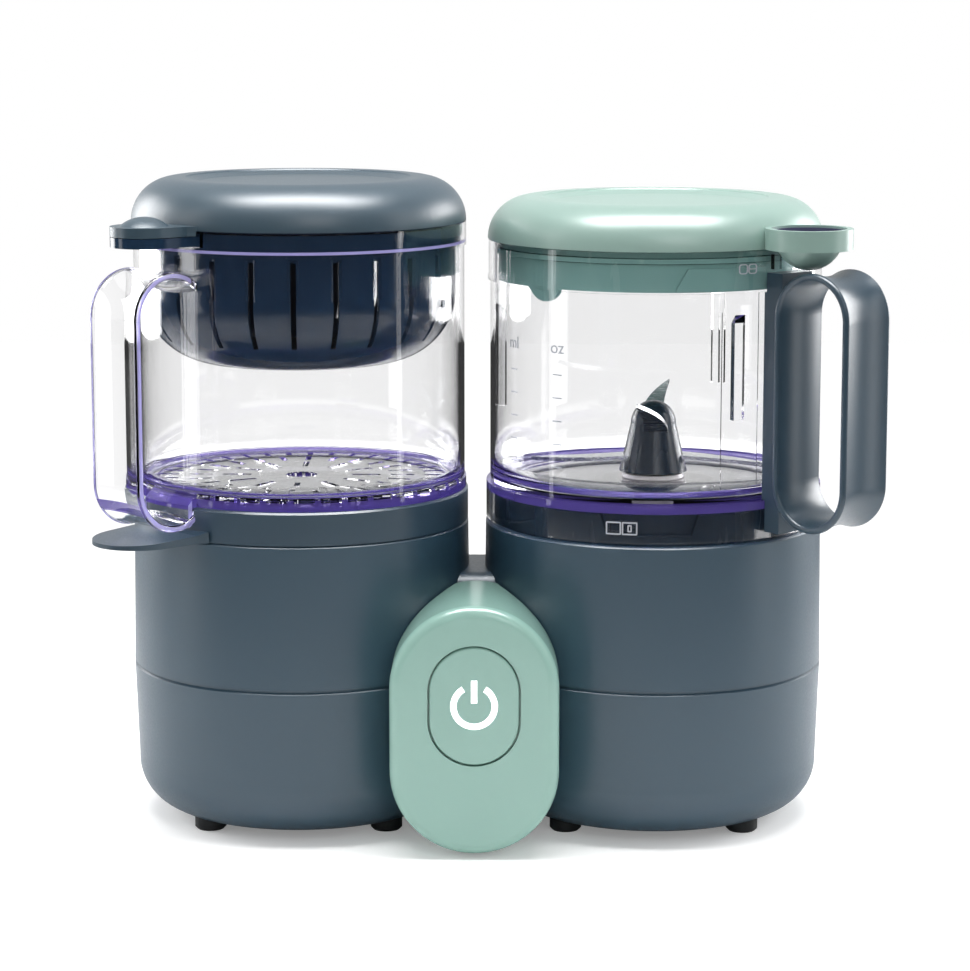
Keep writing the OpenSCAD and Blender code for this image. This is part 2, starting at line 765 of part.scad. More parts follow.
module cord_gland() {
    color("#22262a") translate([steam_x, axis_y, gland_z]) rotate([-90, 0, 0]) difference() {
        union() {
            translate([0, 0, base_r - 12]) cylinder(r = gland_r, h = 12 - 1.6);
            translate([0, 0, base_r - 14]) cylinder(r = gland_r + 2, h = 8);
        }
        translate([0, 0, base_r - 20]) cylinder(r = gland_bore, h = 30);
    }
}

module water_well() {
    color(slate_dark) at_steamer() difference() {
        union() {
            rotate_extrude() difference() {
                union() {
                    translate([0, well_floor_z - 2.4]) square([well_r, deck_z - well_floor_z + 2.4]);
                    translate([0, deck_z - 1.2]) square([well_r, 1.2]);
                }
                translate([-1, well_floor_z]) square([well_r - 2.2 - 5 + 1, 40]);
                translate([-1, well_floor_z + 5]) square([well_r - 2.2 + 1, 40]);
                translate([well_r - 2.2 - 5, well_floor_z + 5]) circle(5);
            }
            ring(dish_r, dish_r + seal_w + 3, well_floor_z - 4, well_floor_z - 2);
            // lugs on the screw posts
            for (a = [0:90:270]) rotate(a) translate([post_at, 0, 0]) post(post_r, well_floor_z - 4.5, well_floor_z - 2);
        }
        post(dish_r + 0.6, well_floor_z - 6, well_floor_z + 1);
    }
}

module heating_plate() {
    color(steel) at_steamer() rotate_extrude() union() {
        difference() {
            translate([0, dish_floor_z - dish_t]) square([dish_r - 1.6, dish_t]);
            translate([-1, dish_floor_z - dish_t - 1]) square([1, 3]);
        }
        translate([dish_r - 2.5, dish_floor_z - dish_t]) square([dish_t, well_floor_z - dish_floor_z + 1.1 + dish_t]);
        translate([dish_r - 2.5, well_floor_z + 0.4]) square([5.6, 0.7]);
    }
}

module heater_seal() {
    color("#8a8f94") at_steamer() rotate_extrude() union() {
        translate([dish_r + 0.6, well_floor_z]) square([2.2, 0.4]);
        translate([dish_r - 1.5, well_floor_z - 4]) square([2, 4.3]);
    }
}

module heating_element() {
    low_z = dish_floor_z - dish_t - 7.5;
    color("#a9adb0") at_steamer() difference() {
        union() {
            rotate_extrude() translate([coil_r, low_z + 3.75]) union() {
                circle(3.75);
                translate([-3.2, 0]) square([6.4, 3.75]);
            }
            for (s = [-1, 1]) translate([s * 7, -coil_r, low_z + 3.2]) rotate([90, 0, 0]) cylinder(r = 2, h = 10);
        }
    }
}

module thermostat() {
    low_z = dish_floor_z - dish_t - 9;
    color("#3a3d40") at_steamer() union() {
        post(8, low_z, dish_floor_z - dish_t);
        for (s = [-1, 1]) translate([s * 5 - 1.5, -0.4, low_z - 5]) cube([3, 0.8, 5.2]);
        difference() {
            post(12, low_z + 3, low_z + 4);
            post(7, low_z + 2, low_z + 5);
        }
    }
}

// ---------- inside the blender half ----------

// recess that the bowl's lugs drop into and turn along, open at the top
module seat_recess(a) {
    lead = lug_span / 2 + 1.5;
    low_z = lug_z - face_gap;
    rotate([0, 0, -90 + a]) {
        rotate([0, 0, -lead - 0.01]) rotate_extrude(angle = 2 * lead + twist_open)
            translate([seat_r - 2.4, low_z]) square([5, seat_top_z - low_z + 2]);
        // both ends slope open towards the top
        for (e = [[-lead, -1], [lead + twist_open, 1]]) rotate([0, 0, e[0]]) translate([seat_r - 2.3, 0, 0])
            rotate([90, 0, 90]) linear_extrude(5) polygon([[-e[1] * 1.2, low_z], [0, low_z],
                [e[1] * 3.1, seat_top_z + 1], [-e[1] * 1.2, seat_top_z + 1]]);
    }
}

module bowl_seat() {
    color(slate_dark) at_blender() difference() {
        union() {
            rotate_extrude() difference() {
                polygon([[0, deck_z], [seat_r, deck_z], [seat_r, seat_top_z - 1], [seat_r - 1, seat_top_z], [0, seat_top_z]]);
                // the underside is a shell
                polygon([[seat_well_r + 3, deck_z - 1], [seat_r - 5.4, deck_z - 1],
                    [seat_r - 5.4, seat_top_z - 3], [seat_well_r + 3, seat_top_z - 3]]);
                // well of the coupling
                translate([-1, deck_z + 1.2]) square([seat_well_r + 1, 20]);
            }
            ring(motor_shaft_r + 2.5, seat_well_r + 3, deck_z - 4, deck_z + 1.3);
            for (a = [0:45:315]) rotate(a) translate([seat_well_r + 2, -1, deck_z])
                cube([seat_r - seat_well_r - 6, 2, seat_top_z - deck_z - 2]);
        }
        post(motor_shaft_r + 2.5, deck_z - 5, deck_z + 3);
        for (a = lug_a) seat_recess(a);
        // pocket of the interlock pin
        rotate(-30) translate([pin_at, 0, 0]) post(1.7, deck_z - 1, seat_top_z + 1);
    }
}

module shaft_seal() {
    color("#1e2124") at_blender() rotate_extrude() union() {
        translate([motor_shaft_r + 0.3, deck_z - 4]) square([2.1, 6.2]);
        translate([motor_shaft_r + 0.3, deck_z + 1.3]) square([4.5, 0.9]);
    }
}

module motor_can() {
    color("#9da1a4") at_blender() difference() {
        union() {
            rotate_extrude() tub_section(motor_r, motor_r, motor_low_z, motor_top_z, 4);
            post(12, motor_low_z - 4, motor_low_z + 1);
        }
        post(motor_r - 2, motor_low_z + 2, motor_top_z - 2);
        for (a = [45:90:315]) rotate(a) translate([24, 0, 0]) post(1.7, motor_top_z - 3, motor_top_z + 1);
        post(7 + slip / 2, motor_low_z - 5, motor_low_z + 3);
        post(9 + slip / 2, motor_top_z - 3, motor_top_z + 1);
        // cooling windows
        for (a = [0:60:300]) rotate(a) translate([motor_r - 4, -5, motor_low_z + 8]) cube([8, 10, 18]);
    }
}

module motor_mount_plate() {
    color("#6f7478") at_blender() difference() {
        union() {
            post(post_at + post_r, mount_z, mount_z + mount_t);
            ring(9, 13, mount_z + mount_t - eps, mount_z + mount_t + 2);
        }
        post(9 + slip / 2, mount_z - 1, mount_z + mount_t + 3);
        for (a = [45:90:315]) rotate(a) {
            translate([24, 0, 0]) post(1.7, mount_z - 1, mount_z + mount_t + 1);
            translate([37, 0, 0]) post(6, mount_z - 1, mount_z + mount_t + 1);
        }
    }
}

module motor_screws() {
    color(steel) at_blender() for (a = [45:90:315]) rotate(a) translate([24, 0, 0]) difference() {
        union() {
            post(1.6, motor_top_z - 1.8, mount_z + mount_t + 0.1);
            post(3, mount_z + mount_t, mount_z + mount_t + 2);
        }
        translate([0, 0, mount_z + mount_t + 1]) cylinder(r = 1.4, h = 2, $fn = 6);
    }
}

module upper_motor_bearing() {
    color("#b08d57") at_blender() ring(motor_shaft_r + run, 9, mount_z - 2.2, mount_z + mount_t + 2);
}

module lower_motor_bearing() {
    color("#b08d57") at_blender() ring(motor_shaft_r + run, 7, motor_low_z - 4, motor_low_z + 2);
}

module interlock_switch() {
    color("#1d1f22") at_blender() rotate(-30) translate([pin_at, 0, 0]) union() {
        translate([-5, -3, deck_z - deck_t - 9]) cube([10, 6, 9]);
        translate([0, 0, deck_z - deck_t - 1]) cylinder(r = 1.2, h = seat_top_z - deck_z + deck_t + 0.4);
    }
}

module motor_shaft() {
    color(steel) at_blender() post(motor_shaft_r, fan_z - 1, coupling_low_z + 3);
}

module motor_rotor() {
    color("#7b5b3a") at_blender() difference() {
        union() {
            post(24, motor_low_z + 16, motor_top_z - 14);
            ring(motor_shaft_r, 11, motor_low_z + 6, motor_low_z + 16.5);
        }
        post(motor_shaft_r, motor_low_z, motor_top_z);
        for (a = [0:30:330]) rotate(a) translate([22, -0.9, motor_low_z + 15]) cube([4, 1.8, 40]);
    }
}

module motor_fan() {
    color("#2b2f33") at_blender() difference() {
        union() {
            post(7, fan_z, fan_z + 8);
            post(22, fan_z, fan_z + 1.4);
            for (a = [0:36:324]) rotate(a) translate([6, -0.7, fan_z]) cube([16, 1.4, 7]);
        }
        post(motor_shaft_r, fan_z - 1, fan_z + 20);
    }
}

module drive_coupling() {
    color("#d8d4c8") at_blender() difference() {
        rotate_extrude() polygon([[0, coupling_low_z], [coupling_r - 1, coupling_low_z], [coupling_r, coupling_low_z + 1],
            [coupling_r, coupling_top_z - 1], [coupling_r - 1, coupling_top_z], [0, coupling_top_z]]);
        post(motor_shaft_r, coupling_low_z - 1, coupling_low_z + 3);
        translate([0, 0, coupling_low_z + 3 - eps]) linear_extrude(20) dog_plan(dog_r + dog_clear, dog_w + 2 * dog_clear);
    }
}

// ---------- blender bowl ----------

module blade_bearing() {
    color("#e8e6df") at_blender() difference() {
        rotate_extrude() polygon([[0, bush_low_z], [bush_flange_r - 0.5, bush_low_z],
            [bush_flange_r, bush_low_z + 0.5], [bush_flange_r, blend_floor_z - face_gap],
            [bush_r, blend_floor_z - face_gap], [bush_r, blend_floor_z + blend_floor_t + face_gap],
            [bush_flange_r, blend_floor_z + blend_floor_t + face_gap], [bush_flange_r - 0.6, hub_low_z - 0.8],
            [bush_r - 1, hub_low_z - 0.8], [bush_r - 1.4, bush_top_z], [0, bush_top_z]]);
        post(shaft_r + run, bush_low_z - 1, bush_top_z + 1);
    }
}

module bearing_seal() {
    color("#8a8f94") at_blender() ring(shaft_r + 0.2, bush_r - 1.6, bush_top_z + 0.1, bush_top_z + 1.6);
}

module blender_bowl() {
    wall_in = blend_r - bowl_wall;
    corner = 8;
    color(clear) at_blender() difference() {
        union() {
            rotate_extrude() difference() {
                union() {
                    translate([0, blend_floor_z]) square([blend_r, blend_rim_z - blend_floor_z]);
                    translate([wall_in, blend_ledge_z]) square([blend_r + 0.7 - wall_in, blend_rim_z - blend_ledge_z]);
                    translate([wall_in, blend_ledge_z]) square([blend_r + 1 - wall_in, 1.3]);
                    translate([skirt_r - 6, blend_floor_z]) square([6, 1.6]);
                    translate([skirt_r - skirt_wall, skirt_low_z]) square([skirt_wall, blend_floor_z + 1 - skirt_low_z]);
                }
                // inside, with a round corner at the floor
                difference() {
                    translate([-1, blend_floor_z + blend_floor_t]) square([wall_in + 1, 120]);
                    difference() {
                        translate([wall_in - corner, blend_floor_z + blend_floor_t]) square(corner);
                        translate([wall_in - corner, blend_floor_z + blend_floor_t + corner]) circle(corner);
                    }
                }
            }
            // measuring ribs inside the wall
            for (a = rib_a) rotate([0, 0, -90 + a]) translate([wall_in, 0, 0]) rotate([90, 0, 0])
                linear_extrude(rib_w, center = true) polygon([[1, rib_low_z], [-rib_deep, rib_low_z],
                    [-rib_deep, rib_top_z - 4.4], [1, rib_top_z]]);
            // raised pads on both sides of the handle's strap
            for (a = pad_a) rotate([0, 0, -90 + a])
                arc_block(wall_in + 1, blend_r + pad_t, 14, blend_floor_z + 4, blend_ledge_z + 0.6);
            // lugs on the inside of the skirt
            for (a = lug_a) rotate([0, 0, -90 + a]) arc_block(seat_r - 1.4, skirt_r - skirt_wall + 0.3, lug_span, lug_z, lug_z + lug_h);
            // keys that carry the handle, and the small stop beside it
            to_right_grid() for (z = [blend_floor_z + 18, blend_rim_z - 32]) translate([wall_in + 0.5, -4, z])
                cube([key_out - wall_in - 0.5, 8, 7]);
            rotate([0, 0, -90 + 41]) translate([blend_r - 0.2, -1.7, blend_ledge_z + 8]) cube([3, 3.4, 5.4]);
        }
        post(bush_r + 0.06, blend_floor_z - 1, blend_floor_z + blend_floor_t + 1);
    }
}

module blender_handle() {
    gap = 0.15;
    loop_in = grip_mid - grip_loop_r;
    run_low = grip_low_z + grip_loop_r;
    run_top = grip_top_z - grip_loop_r;
    color(slate) at_blender() to_right_grid() difference() {
        union() {
            ribbon_loop(grip_mid, grip_loop_r, grip_w / 2, grip_low_z, grip_top_z);
            // strap between the loop and the bowl
            translate([blend_r - 1, -strap_half, strap_low_z])
                cube([loop_in + 1 - blend_r + 1, 2 * strap_half, strap_top_z - strap_low_z]);
            intersection() {
                translate([loop_in - 1, -strap_half + 1, run_low]) cube([8, 2 * strap_half - 2, run_top - run_low]);
                post(loop_in + 3.2, run_low, run_top);
            }
        }
        // seat on the bowl's wall, skirt and rim
        post(blend_r + gap, 0, 300);
        post(skirt_r + gap, 0, blend_floor_z + 1.8);
        post(blend_r + 1 + gap, blend_ledge_z - 0.3, 300);
        // pockets of the bowl's keys
        for (z = [blend_floor_z + 18, blend_rim_z - 32]) translate([blend_r - 1, -4 - slip, z - slip])
            cube([key_out + slip - blend_r + 1, 8 + 2 * slip, 7 + 2 * slip]);
    }
}

// ---------- blades ----------

module blade_shaft() {
    color(steel) at_blender() post(shaft_r, coupling_low_z + 3.6, hub_top_z - 7);
}

// half section of the hub without its hollow
module hub_outline() {
    top_r = hub_r - 2.4;
    union() {
        polygon([[0, hub_low_z], [hub_r + 2, hub_low_z], [hub_r, hub_low_z + 8],
            [top_r, hub_top_z - top_r], [0, hub_top_z - top_r]]);
        translate([0, hub_top_z - top_r]) intersection() {
            circle(top_r);
            square(20);
        }
    }
}

module blade_hub() {
    color("#2f3438") at_blender() difference() {
        rotate_extrude() difference() {
            hub_outline();
            // skirt that hangs over the bearing
            translate([-1, hub_low_z - 1]) square([bush_r + 1.4, bush_top_z + 2.2 - hub_low_z + 1]);
        }
        post(shaft_r, hub_low_z, hub_top_z - 7);
    }
}

// curved blade with a pointed tip, along +X
module blade_plan(reach, lead, trail) {
    lead_r = (reach * reach + lead * lead) / (2 * lead);
    trail_r = (reach * reach + trail * trail) / (2 * trail);
    intersection() {
        difference() {
            translate([0, lead - lead_r]) circle(lead_r, $fn = 256);
            translate([0, trail - trail_r]) circle(trail_r, $fn = 256);
        }
        translate([0, -5]) square([reach, lead + 10]);
    }
}

// two blades that rise from the hub by the tilt, cut to the hub's surface
module blade_pair(z, reach, tilt, lead) {
    root = hub_r - 4;
    difference() {
        for (a = [0, 180]) rotate(a) translate([root, -lead * 0.6, z]) rotate([0, -tilt, 0])
            linear_extrude(blade_t) blade_plan((reach - root) / cos(tilt), lead, lead * 0.3);
        rotate_extrude() hub_outline();
    }
}

module lower_blades() {
    color(steel) at_blender() blade_pair(blade_low_z, lower_blade_r, -lower_tilt, 15);
}

module upper_blades() {
    color(steel) at_blender() rotate(90) blade_pair(blade_high_z, upper_blade_r, upper_tilt, 13);
}

module blade_coupling() {
    color("#e8e6df") at_blender() difference() {
        translate([0, 0, coupling_low_z + 3.6]) linear_extrude(coupling_top_z - coupling_low_z - 3.4)
            dog_plan(dog_r, dog_w);
        post(shaft_r, 0, 300);
    }
}

// ---------- blender lid ----------

module blender_lid_gasket() {
    color("#e3e6e6") at_blender() ring(liner_r - 1.7, blend_r - bowl_wall - 0.1, gasket_z, gasket_z + 1.8);
}

module blender_lid() {
    color(mint) at_blender() difference() {
        union() {
            rotate_extrude() lid_dome(blend_lid_z, blend_lid_edge);
            to_right_grid() difference() {
                union() {
                    translate([cup_at, 0, 0]) post(cup_r, cup_wall_z, cup_top_z);
                    translate([cup_at, 0, cup_wall_z - cup_deep + cup_ball_r]) intersection() {
                        sphere(cup_ball_r);
                        translate([0, 0, -cup_ball_r]) cube([4 * cup_ball_r, 4 * cup_ball_r, 2 * (cup_deep + 0.2)], center = true);
                    }
                }
                // the dome stays clear inside, and the bowl's rim below
                post(lid_r - lid_wall, blend_lid_z, cup_top_z - 4);
                post(lid_r + face_gap, 0, blend_lid_z);
            }
        }
        to_right_grid() {
            translate([cup_at, 0, 0]) post(cup_r - 2.3, cup_wall_z + 2, cup_top_z + 1);
            translate([cup_at, 0, cup_wall_z - cup_deep + cup_ball_r]) intersection() {
                sphere(cup_ball_r - 2);
                translate([0, 0, -cup_ball_r]) cube([4 * cup_ball_r, 4 * cup_ball_r, 2 * (cup_deep + 3)], center = true);
            }
        }
    }
}

module cup_liner() {
    color("#4e4c66") at_blender() to_right_grid() translate([cup_at, 0, 0])
        ring(cup_r - 3.6, cup_r - 2.3 - 0.05, cup_wall_z + 2, cup_top_z - 0.8);
}

module blender_lid_liner() {
    skirt_bottom = blend_ledge_z + 0.4;
    color("#86b2a4") at_blender() difference() {
        union() {
            rotate_extrude() difference() {
                union() {
                    translate([liner_r - 2.2, skirt_bottom]) square([2.2, blend_lid_z + 2 - skirt_bottom]);
                    translate([0, blend_lid_z + 2]) square([lid_r - lid_wall - 0.7, 1.8]);
                }
                // groove of the gasket
                translate([liner_r - 2, gasket_z - face_gap]) square([3, 1.8 + 2 * face_gap]);
            }
            // sloping lug, block and half-round lip on the skirt
            rotate([0, 0, -90 + 13]) intersection() {
                arc_block(liner_r - 0.5, liner_r + 0.85, 16, skirt_bottom + 0.4, skirt_bottom + 8.6);
                rotate([90, 0, 90]) linear_extrude(liner_r + 5) polygon([[-9, skirt_bottom], [9, skirt_bottom],
                    [9, skirt_bottom + 9], [-4, skirt_bottom + 9], [-7.8, skirt_bottom + 2]]);
            }
            rotate([0, 0, -90 + 30]) arc_block(liner_r - 0.5, liner_r + 0.7, 18, skirt_bottom + 0.4, skirt_bottom + 8.6);
            rotate([0, 0, -90 - 45]) translate([liner_r - 2, 0, skirt_bottom]) rotate([90, 0, 90])
                linear_extrude(1.6) difference() {
                    translate([0, 3.1]) circle(8.1);
                    translate([-20, 0.6]) square([40, 20]);
                }
        }
    }
}

// ---------- steamer ----------

module drip_ring() {
    color(slate) at_steamer() difference() {
        union() {
            rotate_extrude() difference() {
                polygon([[spigot_r - 4, ring_low_z], [ring_r, ring_low_z], [ring_r, ring_top_z - 0.7], [ring_r - 0.7, ring_top_z],
                    [spigot_r + 0.4, ring_top_z], [spigot_r + 0.4, ring_low_z + 4], [spigot_r - 4, ring_low_z + 4]]);
            }
            to_left_grid() intersection() {
                translate([0, 0, ring_low_z]) linear_extrude(5) tab_plan(ring_tab_at, ring_tab_r, ring_r - 2, 2.5);
                // thinner towards the tip
                rotate([90, 0, 0]) translate([0, 0, -40]) linear_extrude(80)
                    polygon([[ring_r - 3, ring_low_z - 1], [ring_tab_at + ring_tab_r + 1, ring_low_z - 1],
                        [ring_tab_at + ring_tab_r + 1, ring_low_z + 1.5], [ring_r + 2, ring_low_z + 3], [ring_r - 3, ring_low_z + 4.4]]);
            }
        }
        post(spigot_r + 0.4, ring_low_z + 4, 300);
        post(spigot_r - 4, 0, 300);
    }
}

module bowl_foot_seal() {
    color("#c9cdd0") at_steamer() ring(spigot_r - 3.2, spigot_r + 0.3, steam_floor_z - 7.5, steam_floor_z - 6);
}

module steamer_bowl() {
    wall_in = bowl_r - bowl_wall;
    wall_mid = wall_in + bowl_wall / 2;
    corner = 5;
    floor_top_z = steam_floor_z + steam_floor_t;
    pad_in = ring_r + 0.8;
    color(clear) at_steamer() difference() {
        union() {
            rotate_extrude() difference() {
                union() {
                    translate([0, steam_low_z]) square([bowl_r, steam_rim_z - steam_low_z]);
                    translate([wall_mid, steam_low_z]) square([bowl_r + 0.6 - wall_mid, 3.8]);
                    translate([wall_mid, ledge_z - 1.4]) square([rim_r - wall_mid, steam_rim_z - ledge_z + 1.4]);
                    translate([spigot_r - 2, steam_floor_z - 6]) square([2, 7]);
                }
                // inside, with a round corner at the floor
                difference() {
                    translate([-1, floor_top_z]) square([wall_in + 1, 120]);
                    difference() {
                        translate([wall_in - corner, floor_top_z]) square(corner);
                        translate([wall_in - corner, floor_top_z + corner]) circle(corner);
                    }
                }
                // wider seat of the basket's rim
                translate([-1, ledge_z]) square([rim_in_r + 1, 40]);
                // underside of the floor, on both sides of the spigot
                translate([spigot_r, steam_low_z - 1]) square([wall_in - spigot_r, steam_floor_z - steam_low_z + 1]);
                translate([-1, steam_low_z - 1]) square([spigot_r - 1, steam_floor_z - steam_low_z + 1]);
            }
            // loop handle, which stops in the middle of the wall
            to_left_grid() difference() {
                ribbon_loop(steam_grip_mid, steam_loop_r, steam_grip_w / 2, grip_low_z - 1.6, steam_grip_top_z);
                post(wall_mid, steam_low_z, 300);
                post(pad_in + 0.5, 0, steam_low_z);
            }
            // pad that brings the foot of the loop up to the wall
            to_left_grid() intersection() {
                rotate([90, 0, 0]) linear_extrude(steam_grip_w - ribbon_t, center = true) union() {
                    translate([steam_grip_mid, grip_low_z - 1.6 + steam_loop_r]) circle(steam_loop_r);
                    translate([steam_grip_mid - steam_loop_r, grip_low_z - 1.6 + steam_loop_r])
                        square([2 * steam_loop_r, 10]);
                }
                rotate_extrude() polygon([[pad_in, 0], [pad_in + 2.4, 0], [pad_in + 2.4, steam_low_z + 1],
                    [bowl_r + 0.3, steam_low_z + 5], [wall_mid, steam_low_z + 5], [wall_mid, steam_low_z],
                    [pad_in, steam_low_z]]);
            }
        }
        // notch for the basket's tab
        to_left_grid() translate([rim_in_r - 4, -tab_notch, basket_tab_z - face_gap]) cube([8, 2 * tab_notch, 20]);
        // steam slots
        for (k = [0:floor_slots - 1]) rotate(k * 360 / floor_slots) translate([spigot_r - 12, -1.1, steam_floor_z - 1])
            cube([8, 2.2, 5]);
        for (k = [0:floor_slots * 2 / 3 - 1]) rotate(k * 540 / floor_slots)
            translate([spigot_r - 25, -1.1, steam_floor_z - 1]) cube([9, 2.2, 5]);
        for (k = [0:floor_slots / 3 - 1]) rotate(k * 1080 / floor_slots)
            translate([spigot_r - 40, -1.1, steam_floor_z - 1]) cube([11, 2.2, 5]);
        post(6, steam_floor_z - 1, steam_floor_z + 5);
    }
}

module steamer_basket() {
    slot_top = ledge_z - 3.4;
    slot_low = basket_z + 10;
    slot_span = basket_slot_w / basket_r * 180 / PI;
    flute_r = 3;
    flute_deep = 0.8;
    color(slate_dark) at_steamer() difference() {
        union() {
            difference() {
                union() {
                    rotate_extrude() union() {
                        tub_section(basket_r, basket_r, basket_z, basket_rim_z, basket_corner);
                        translate([basket_r - 3, basket_rim_low_z])
                            square([basket_rim_r - basket_r + 3, basket_rim_z - basket_rim_low_z]);
                    }
                    to_left_grid() translate([0, 0, basket_tab_z]) linear_extrude(tab_t)
                        tab_plan(lid_tab_at, lid_tab_r, basket_rim_r - 2, 2);
                }
                rotate_extrude() tub_section(basket_r - basket_wall, basket_r - basket_wall,
                    basket_z + basket_wall, basket_rim_z + 1, basket_corner - basket_wall);
            }
        }
        // slots that widen outwards, each at the bottom of a shallow rounded flute
        for (k = [0:basket_slots - 1]) rotate(-90 + 1.9 + k * 360 / basket_slots) {
            arc_block(basket_r - 32, basket_r + 4, slot_span, slot_low, slot_top);
            translate([basket_r - flute_deep + flute_r, 0, basket_z + basket_corner + 1])
                cylinder(r = flute_r, h = slot_top - basket_z - basket_corner);
        }
        // holes in the bottom
        for (k = [0:11]) rotate(k * 30) translate([basket_r - 34, 0, basket_z - 1]) cylinder(r = 1.6, h = 5);
        for (k = [0:5]) rotate(k * 60) translate([basket_r - 47, 0, basket_z - 1]) cylinder(r = 1.6, h = 5);
        translate([0, 0, basket_z - 1]) cylinder(r = 1.6, h = 5);
    }
}

module steamer_lid() {
    bump_r = 9;
    bump_h = 3.4;
    bump_ball = (bump_r * bump_r + bump_h * bump_h) / (2 * bump_h);
    color(slate) at_steamer() union() {
        rotate_extrude() lid_dome(steam_lid_z, steam_lid_edge);
        to_left_grid() difference() {
            union() {
                translate([0, 0, lid_tab_z]) linear_extrude(tab_t) tab_plan(lid_tab_at, lid_tab_r, lid_r - 2, 2.5);
                translate([lid_tab_at, 0, lid_tab_z + tab_t + bump_h - bump_ball]) intersection() {
                    sphere(bump_ball);
                    translate([-bump_ball, -bump_ball, bump_ball - bump_h - 0.3]) cube([2 * bump_ball, 2 * bump_ball, bump_ball]);
                }
            }
            post(lid_r - lid_wall, 0, 300);
            post(rim_r + face_gap, 0, steam_lid_z);
        }
    }
}

module steamer_lid_liner() {
    color(slate_dark) at_steamer() rotate_extrude() union() {
        translate([0, steam_lid_z + 1.6]) square([lid_r - lid_wall - 0.6, 1.8]);
        translate([basket_r - 3.6, steam_lid_z - 0.8]) square([1.8, 3]);
    }
}

// ---------- all pieces ----------

base_lower_shell();
base_upper_shell();
rubber_feet();
housing_screws();
control_panel();
panel_chassis();
panel_screws();
control_board();
button_switch();
symbol_led();
power_board();
cord_gland();
water_well();
heater_seal();
heating_plate();
heating_element();
thermostat();
bowl_seat();
shaft_seal();
motor_can();
motor_mount_plate();
motor_screws();
upper_motor_bearing();
lower_motor_bearing();
interlock_switch();
motor_shaft();
motor_rotor();
motor_fan();
drive_coupling();
start_button();
button_symbol();
button_spring();
blade_bearing();
bearing_seal();
blender_bowl();
blender_handle();
blade_shaft();
blade_hub();
lower_blades();
upper_blades();
blade_coupling();
blender_lid_gasket();
blender_lid();
blender_lid_liner();
cup_liner();
drip_ring();
steamer_bowl();
bowl_foot_seal();
steamer_basket();
steamer_lid();
steamer_lid_liner();
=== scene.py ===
import bpy
import json
import math
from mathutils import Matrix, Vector


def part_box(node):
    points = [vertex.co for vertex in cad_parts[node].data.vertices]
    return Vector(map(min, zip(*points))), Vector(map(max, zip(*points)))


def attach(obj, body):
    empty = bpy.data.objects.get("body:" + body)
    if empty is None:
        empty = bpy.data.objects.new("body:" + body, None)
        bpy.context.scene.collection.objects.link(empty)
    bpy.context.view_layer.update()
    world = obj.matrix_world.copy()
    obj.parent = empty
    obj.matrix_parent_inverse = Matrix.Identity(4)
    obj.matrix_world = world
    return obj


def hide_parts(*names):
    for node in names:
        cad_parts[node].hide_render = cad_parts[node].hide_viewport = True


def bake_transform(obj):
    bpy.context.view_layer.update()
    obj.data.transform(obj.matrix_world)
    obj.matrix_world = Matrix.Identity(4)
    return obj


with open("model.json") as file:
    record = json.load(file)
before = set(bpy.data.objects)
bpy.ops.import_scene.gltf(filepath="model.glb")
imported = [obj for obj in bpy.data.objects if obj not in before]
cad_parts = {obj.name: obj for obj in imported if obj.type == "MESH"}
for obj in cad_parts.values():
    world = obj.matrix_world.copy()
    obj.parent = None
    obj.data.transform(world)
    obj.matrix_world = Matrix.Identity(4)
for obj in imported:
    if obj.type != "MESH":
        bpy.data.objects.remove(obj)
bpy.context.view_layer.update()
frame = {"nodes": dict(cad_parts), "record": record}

print("baby food maker: frame loaded,", len(frame["nodes"]), "solids")

mm = 0.001
partNodes = frame["nodes"]
bpy.ops.object.select_all(action="DESELECT")


# small helpers

def linearColour(hexText):
    channels = [int(hexText[i:i + 2], 16) / 255 for i in (1, 3, 5)]
    linear = [c / 12.92 if c <= 0.04045 else ((c + 0.055) / 1.055) ** 2.4 for c in channels]
    return (linear[0], linear[1], linear[2], 1.0)


def addNode(material, kind, settings=None, links=None):
    node = material.node_tree.nodes.new(kind)
    for name, value in (settings or {}).items():
        if isinstance(name, int) or name in node.inputs.keys():
            node.inputs[name].default_value = value
        else:
            setattr(node, name, value)
    for name, source in (links or {}).items():
        material.node_tree.links.new(source, node.inputs[name])
    return node


def newMaterial(name):
    material = bpy.data.materials.new(name)
    material.use_nodes = True
    material.node_tree.nodes.clear()
    output = addNode(material, "ShaderNodeOutputMaterial")
    place = addNode(material, "ShaderNodeTexCoord").outputs["Object"]
    return material, output, place


def plug(material, source, target):
    material.node_tree.links.new(source, target)


# one sum of two values, each a number or another node's output
def combine(material, operation, first, second, **more):
    given = {0: first, 1: second}
    numbers = {name: value for name, value in given.items() if isinstance(value, (int, float))}
    outputs = {name: value for name, value in given.items() if name not in numbers}
    return addNode(material, "ShaderNodeMath", {"operation": operation, **numbers, **more}, outputs).outputs["Value"]


# 1 where the camera sees a surface itself or through clear walls, 0 where light bounces to it
def seenByCamera(material):
    path = addNode(material, "ShaderNodeLightPath").outputs
    bounces = combine(material, "ADD", path["Diffuse Depth"], path["Glossy Depth"])
    straight = combine(material, "LESS_THAN", bounces, 0.5)
    through = combine(material, "MULTIPLY", path["Is Transmission Ray"], straight)
    return combine(material, "MAXIMUM", path["Is Camera Ray"], through)


# 1 for a ray that a surface has just mirrored, 0 for one that passed through a clear wall
def justMirrored(material):
    path = addNode(material, "ShaderNodeLightPath").outputs
    return combine(material, "SUBTRACT", path["Is Glossy Ray"], path["Is Transmission Ray"], use_clamp=True)


# parts that the finishes share: a pattern of a given size, the drift between two tones, sheen and relief

def noise(material, sizeMm, detail, place, **more):
    settings = {"Scale": 1 / (sizeMm * mm), "Detail": detail, **more}
    return addNode(material, "ShaderNodeTexNoise", settings, {"Vector": place}).outputs["Fac"]


